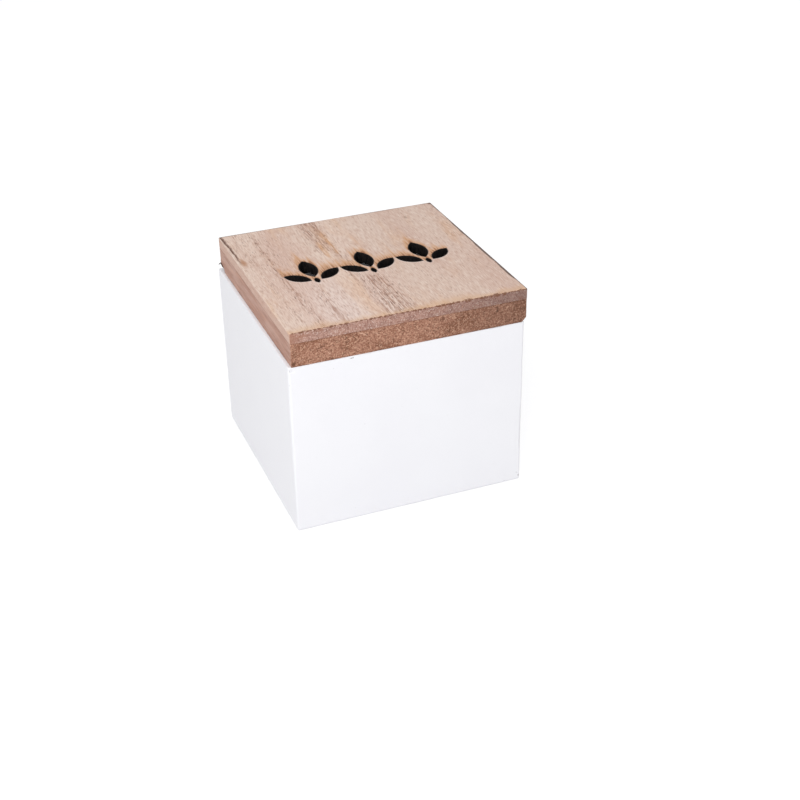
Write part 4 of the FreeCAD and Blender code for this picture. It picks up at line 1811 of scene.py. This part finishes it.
@dataclass
class FibreFuzz:
    """Short curved fibres that lie in the ends of the fibreboard frame."""

    ring: Piece
    reach: Extent
    per_square_metre: float = 130000.0
    length: float = 2.6 * MM
    thickness: float = 0.17 * MM
    sweep: float = 1.6
    spin: Place = (0.25, 0.25, 6.283)
    smallest: Place = (0.35, 0.35, 0.7)
    largest: Place = (1.15, 1.15, 1.3)
    seed: int = 7
    finish: LooseFibre = field(default_factory=LooseFibre)

    def build(self) -> Piece:
        """Scatter the fibres over the frame's front and back faces.

        Returns:
            The finished piece.
        """
        piece = bpy.data.objects.new("fibre_fuzz", self._ground())
        bpy.context.scene.collection.objects.link(piece)
        tree = GeometryTree("fibre_scatter")
        tree.size("Fibres per Square Metre", "NodeSocketFloat", self.per_square_metre)
        tree.size("Fibre Length", "NodeSocketFloat", self.length)
        tree.size("Fibre Thickness", "NodeSocketFloat", self.thickness)
        tree.size("Seed", "NodeSocketInt", self.seed)
        density, seed = tree.given("Fibres per Square Metre"), tree.given("Seed")
        inputs = {"Mesh": tree.given("Geometry"), "Density": density, "Seed": seed}
        spots = tree.node("GeometryNodeDistributePointsOnFaces", inputs, distribute_method="RANDOM")
        radius = tree.sum("DIVIDE", tree.given("Fibre Length"), self.sweep)
        inputs = {"Resolution": 6, "Radius": radius, "Sweep Angle": self.sweep}
        arc = tree.node("GeometryNodeCurveArc", inputs, mode="RADIUS")
        inputs = {"Resolution": 4, "Radius": tree.times(tree.given("Fibre Thickness"), 0.5)}
        thread = tree.node("GeometryNodeCurvePrimitiveCircle", inputs, mode="RADIUS")
        inputs = {"Curve": arc.outputs[0], "Profile Curve": thread.outputs[0], "Fill Caps": True}
        fibre = tree.node("GeometryNodeCurveToMesh", inputs)
        spin = self._random(tree, (0.0, 0.0, 0.0), self.spin, 1)
        inputs = {"Rotation": spots.outputs["Rotation"], "Rotate By": spin}
        lie = tree.node("FunctionNodeRotateRotation", inputs, rotation_space="LOCAL")
        grow = self._random(tree, self.smallest, self.largest, 2)
        inputs = {"Points": spots.outputs["Points"], "Instance": fibre.outputs[0]}
        inputs |= {"Rotation": lie.outputs[0], "Scale": grow}
        tree.finish(tree.node("GeometryNodeInstanceOnPoints", inputs).outputs[0], self.finish.make())
        tree.bake(piece)
        # fibres that stand out of the frame's outline are pressed back to it
        places, _ = corner_points(piece)
        move_points(piece, np.clip(places, self.reach.low, self.reach.high))
        return settle(piece, ())

    @staticmethod
    def _random(tree: GeometryTree, low: Sequence[float], high: Sequence[float], extra: int) -> Socket:
        """Add a random vector between two limits.

        Args:
            tree: The tree under way.
            low: The vector's lower limit.
            high: Its upper limit.
            extra: What is added to the tree's seed.

        Returns:
            The vector.
        """
        inputs = {0: low, 1: high, "Seed": tree.plus(tree.given("Seed"), float(extra))}
        return tree.node("FunctionNodeRandomValue", inputs, data_type="FLOAT_VECTOR").outputs[0]

    def _ground(self) -> bpy.types.Mesh:
        """Copy the front and back faces of the frame, set in from their edges.

        Returns:
            The faces as a mesh of their own.
        """
        ground = self.ring.data.copy()
        low = self.reach.low + [2.5 * MM, MM, 1.0 * MM]
        high = self.reach.high - [2.5 * MM, MM, 0.8 * MM]
        work = bmesh.new()
        work.from_mesh(ground)
        gone = []
        for face in work.faces:
            x, y, z = face.calc_center_median()
            upright = abs(face.normal.y) > 0.7 and not low[1] <= y <= high[1]
            if not (upright and low[0] < x < high[0] and low[2] < z < high[2]):
                gone.append(face)
        bmesh.ops.delete(work, geom=gone, context="FACES")
        work.to_mesh(ground)
        work.free()
        return ground


@dataclass
class LongStrands:
    """Long fibres or splinters, each a thin tapered tube bent towards its middle point.

    The points are millimetres from the low corner of the lid's frame. A tube is
    pressed flat along y, to the share that flat gives.
    """

    name: str
    low: Rows
    strands: tuple[tuple[float, Place, Place, Place], ...]
    flat: float = 0.3
    finish: LooseFibre = field(default_factory=LooseFibre)
    sides: int = 5
    rings: int = 11

    def build(self) -> Piece:
        """Build the strands as one piece and dress it.

        Returns:
            The finished piece.
        """
        draft = MeshDraft()
        share = np.linspace(0.0, 1.0, self.rings)[:, None]
        turn = np.linspace(0.0, 2.0 * math.pi, self.sides, endpoint=False)[None, :, None]
        for thickness, start, middle, stop in self.strands:
            path = (1 - share) ** 2 * np.array(start) + 2 * share * (1 - share) * np.array(middle)
            path += share**2 * np.array(stop)
            along = np.gradient(path, axis=0)
            aside = np.cross(along, ACROSS_STRANDS)
            aside /= np.linalg.norm(aside, axis=1)[:, None]
            upward = np.cross(along, aside)
            upward /= np.linalg.norm(upward, axis=1)[:, None]
            radius = 0.5 * thickness * np.sqrt(np.clip(1.0 - (2.0 * share - 1.0) ** 2, 0.0, 1.0))[:, None]
            tube = radius * (np.cos(turn) * aside[:, None] + np.sin(turn) * upward[:, None])
            tube = tube * [1.0, self.flat, 1.0]
            draft.wall([draft.add(self.low + ring * MM) for ring in path[:, None] + tube])
        return settle(draft.to_object(self.name), (), self.finish.make())


# ---------------------------------------------------------------- the studio


@dataclass
class Studio:
    """A white floor, a white surrounding, soft lamps and the camera."""

    low: Rows
    high: Rows
    azimuth: float = -21.20
    elevation: float = 29.92
    roll: float = -1.056
    lens: float = 62.34
    distance: float = 597.4 * MM
    slide: tuple[float, float] = (14.27 * MM, -18.28 * MM)
    aim: Place = (-0.375, 0.125, 0.0)
    ambient: float = 0.724
    floor_reach: float = 6.0
    floor_glow: float = 0.36

    def build(self) -> None:
        """Set the stage, the light and the camera."""
        self._floor()
        self._surrounding()
        self._lamps()
        self._camera()
        bpy.context.scene.view_settings.view_transform = "Standard"
        log.info("studio: floor, surrounding, lamps and camera")

    def _floor(self) -> None:
        """Lay a plain white floor that keeps the box's shadow."""
        mesh = bpy.data.meshes.new("floor")
        reach = self.floor_reach
        corners = [(-reach, -reach, 0.0), (reach, -reach, 0.0), (reach, reach, 0.0), (-reach, reach, 0.0)]
        mesh.from_pydata(corners, [], [(0, 1, 2, 3)])
        floor = bpy.data.objects.new("floor", mesh)
        bpy.context.scene.collection.objects.link(floor)
        material = bpy.data.materials.new("floor")
        material.use_nodes = True
        wiring = Wiring(material.node_tree)
        lift = wiring.times(self._seen(wiring), self.floor_glow)
        matt = wiring.node("ShaderNodeBsdfDiffuse", {"Color": (0.80, 0.80, 0.80, 1.0)})
        glow = wiring.node("ShaderNodeEmission", {"Color": WHITE, "Strength": lift})
        both = wiring.node("ShaderNodeAddShader", {0: matt.outputs[0], 1: glow.outputs[0]})
        wiring.node("ShaderNodeOutputMaterial", {"Surface": both.outputs[0]})
        mesh.materials.append(material)

    @staticmethod
    def _seen(wiring: Wiring) -> Socket:
        """Tell where the camera sees a surface: straight, mirrored or through glass.

        Args:
            wiring: The material or world under way.

        Returns:
            1 where it is seen, else 0.
        """
        path = wiring.node("ShaderNodeLightPath", {})
        found = path.outputs["Is Camera Ray"]
        for name in ("Is Glossy Ray", "Is Transmission Ray"):
            found = wiring.sum("MAXIMUM", found, path.outputs[name])
        return found

    def _surrounding(self) -> None:
        """Light the world plainly, and show it white where it is seen."""
        world = bpy.data.worlds.new("surrounding")
        bpy.context.scene.world = world
        world.use_nodes = True
        wiring = Wiring(world.node_tree)
        inputs = {"Color": (0.985, 0.99, 1.0, 1.0), "Strength": self.ambient}
        dim = wiring.node("ShaderNodeBackground", inputs)
        white = wiring.node("ShaderNodeBackground", {"Color": WHITE, "Strength": 1.0})
        inputs = {0: self._seen(wiring), 1: dim.outputs[0], 2: white.outputs[0]}
        choose = wiring.node("ShaderNodeMixShader", inputs)
        wiring.node("ShaderNodeOutputWorld", {"Surface": choose.outputs[0]})

    def _lamps(self) -> None:
        """Hang a soft lamp up to the left in front, a small one by the camera and a large one behind."""
        self._lamp("key", (-0.345, -0.458, 0.402), 0.35, 1.48)
        self._lamp("camera_side", (-0.181, -0.503, 0.288), 0.02, 0.34)
        self._lamp("back_fill", (0.5, 0.9, 1.1), 0.9, 1.68)

    def _lamp(self, name: str, place: Place, size: float, power: float) -> None:
        """Hang a square lamp that faces the middle of the box.

        Args:
            name: Name of the lamp.
            place: Where it hangs, from the middle of the box.
            size: Length of its side.
            power: Watts.
        """
        light = bpy.data.lights.new(name, "AREA")
        light.size = size
        light.energy = power
        lamp = bpy.data.objects.new(name, light)
        lamp.location = Vector((self.low + self.high) / 2 + np.array(place))
        lamp.rotation_euler = Vector(place).to_track_quat("Z", "Y").to_euler()
        bpy.context.scene.collection.objects.link(lamp)

    def _camera(self) -> None:
        """Put the camera in front, a little to the left and above."""
        turn, rise, tilt = (math.radians(angle) for angle in (self.azimuth, self.elevation, self.roll))
        back = np.array([math.sin(turn) * math.cos(rise), -math.cos(turn) * math.cos(rise), math.sin(rise)])
        right = np.array([math.cos(turn), math.sin(turn), 0.0])
        up = np.cross(back, right)
        across = math.cos(tilt) * right + math.sin(tilt) * up
        upward = math.cos(tilt) * up - math.sin(tilt) * right
        middle = (self.low + self.high) / 2 + np.array(self.aim) * MM
        place = middle + back * self.distance + across * self.slide[0] + upward * self.slide[1]
        data = bpy.data.cameras.new("camera")
        data.lens = self.lens
        data.sensor_width = 36.0
        data.clip_start = 0.01
        camera = bpy.data.objects.new("camera", data)
        turned = Matrix(np.c_[across, upward, back].tolist()).to_4x4()
        camera.matrix_world = Matrix.Translation(place.tolist()) @ turned
        bpy.context.scene.collection.objects.link(camera)
        bpy.context.scene.camera = camera


# ---------------------------------------------------------------- all together


# thickness, then three points: all in millimetres
LONG_FIBRES = (
    (0.62, (11.9, 0.13, 8.4), (11.6, 0.13, 7.3), (11.9, 0.13, 6.1)),
    (0.50, (14.8, 0.13, 4.5), (15.2, 0.13, 2.9), (16.9, 0.13, 2.4)),
    (0.50, (27.0, 0.13, 9.5), (30.0, 0.13, 8.9), (31.9, 0.13, 6.7)),
    (0.60, (33.4, 0.13, 8.6), (35.2, 0.13, 7.8), (36.4, 0.13, 6.4)),
    (0.42, (36.6, 0.13, 6.9), (39.0, 0.13, 6.6), (41.0, 0.13, 5.2)),
    (0.50, (51.6, 0.13, 9.4), (52.2, 0.13, 9.6), (52.8, 0.13, 9.4)),
    (0.42, (52.0, 0.13, 5.6), (54.6, 0.13, 6.3), (57.3, 0.13, 5.9)),
    (0.50, (56.4, 0.13, 7.8), (56.6, 0.13, 7.1), (56.5, 0.13, 6.3)),
    (0.46, (42.0, 0.13, 2.2), (43.0, 0.13, 2.0), (43.9, 0.13, 1.2)),
    (0.62, (71.3, 0.11, 12.7), (71.2, 0.11, 12.1), (71.2, 0.11, 11.5)),
    (0.50, (82.2, 0.11, 10.8), (83.0, 0.11, 10.5), (84.2, 0.11, 10.4)),
)
CORNER_SPLINTER = (
    (0.60, (0.02, 100.2, 2.6), (-0.02, 97.6, 2.8), (0.08, 95.0, 1.8)),
    (0.36, (0.02, 99.8, 2.4), (-0.06, 98.2, 2.1), (0.05, 96.7, 2.2)),
    (0.28, (0.10, 98.9, 2.5), (0.02, 97.9, 2.0), (0.06, 97.3, 1.5)),
    (0.46, (0.15, 98.7, 2.7), (-0.15, 99.9, 2.6), (-0.92, 100.0, 1.7)),
)


def main() -> None:
    """Build the studio and every sub-assembly in order."""
    logging.basicConfig(level=logging.INFO, format="%(message)s")
    Studio(np.array(CAD_LOW), np.array(CAD_HIGH)).build()
    walls, wall_left = Extent.of(*Side.nodes("wall")), Extent.of("wall_left")
    floor_panel = Extent.of("floor_panel")
    PaintedBody(walls, (wall_left.high - wall_left.low)[0], floor_panel.high[2]).build()

    rim, lid = Extent.of(*Side.nodes("rim")), Extent.of(*Side.nodes("lid_frame"))
    rim_left, rim_right = Extent.of("rim_left"), Extent.of("rim_right")
    hollow = Extent(rim_left.low + [rim_left.high[0] - rim_left.low[0], 0, 0], rim_right.high)
    ring = FibreFrame(lid, rim).build()
    FibreFuzz(ring, Extent.of("lid_frame_front", "lid_frame_back")).build()
    LongStrands("long_fibres", lid.low, LONG_FIBRES).build()
    dark = LooseFibre("torn_fibre", linear(92, 68, 56), linear(60, 42, 34))
    LongStrands("corner_splinter", lid.low, CORNER_SPLINTER, 1.0, dark).build()
    RimStrips(rim, hollow).build()

    board = Extent.of("lid_board")
    row = SprigRow(tuple(board.centre[:2]))
    TopBoard(board, row).build()
    CharredLining(board, row).build()


if __name__ == "__main__":
    main()
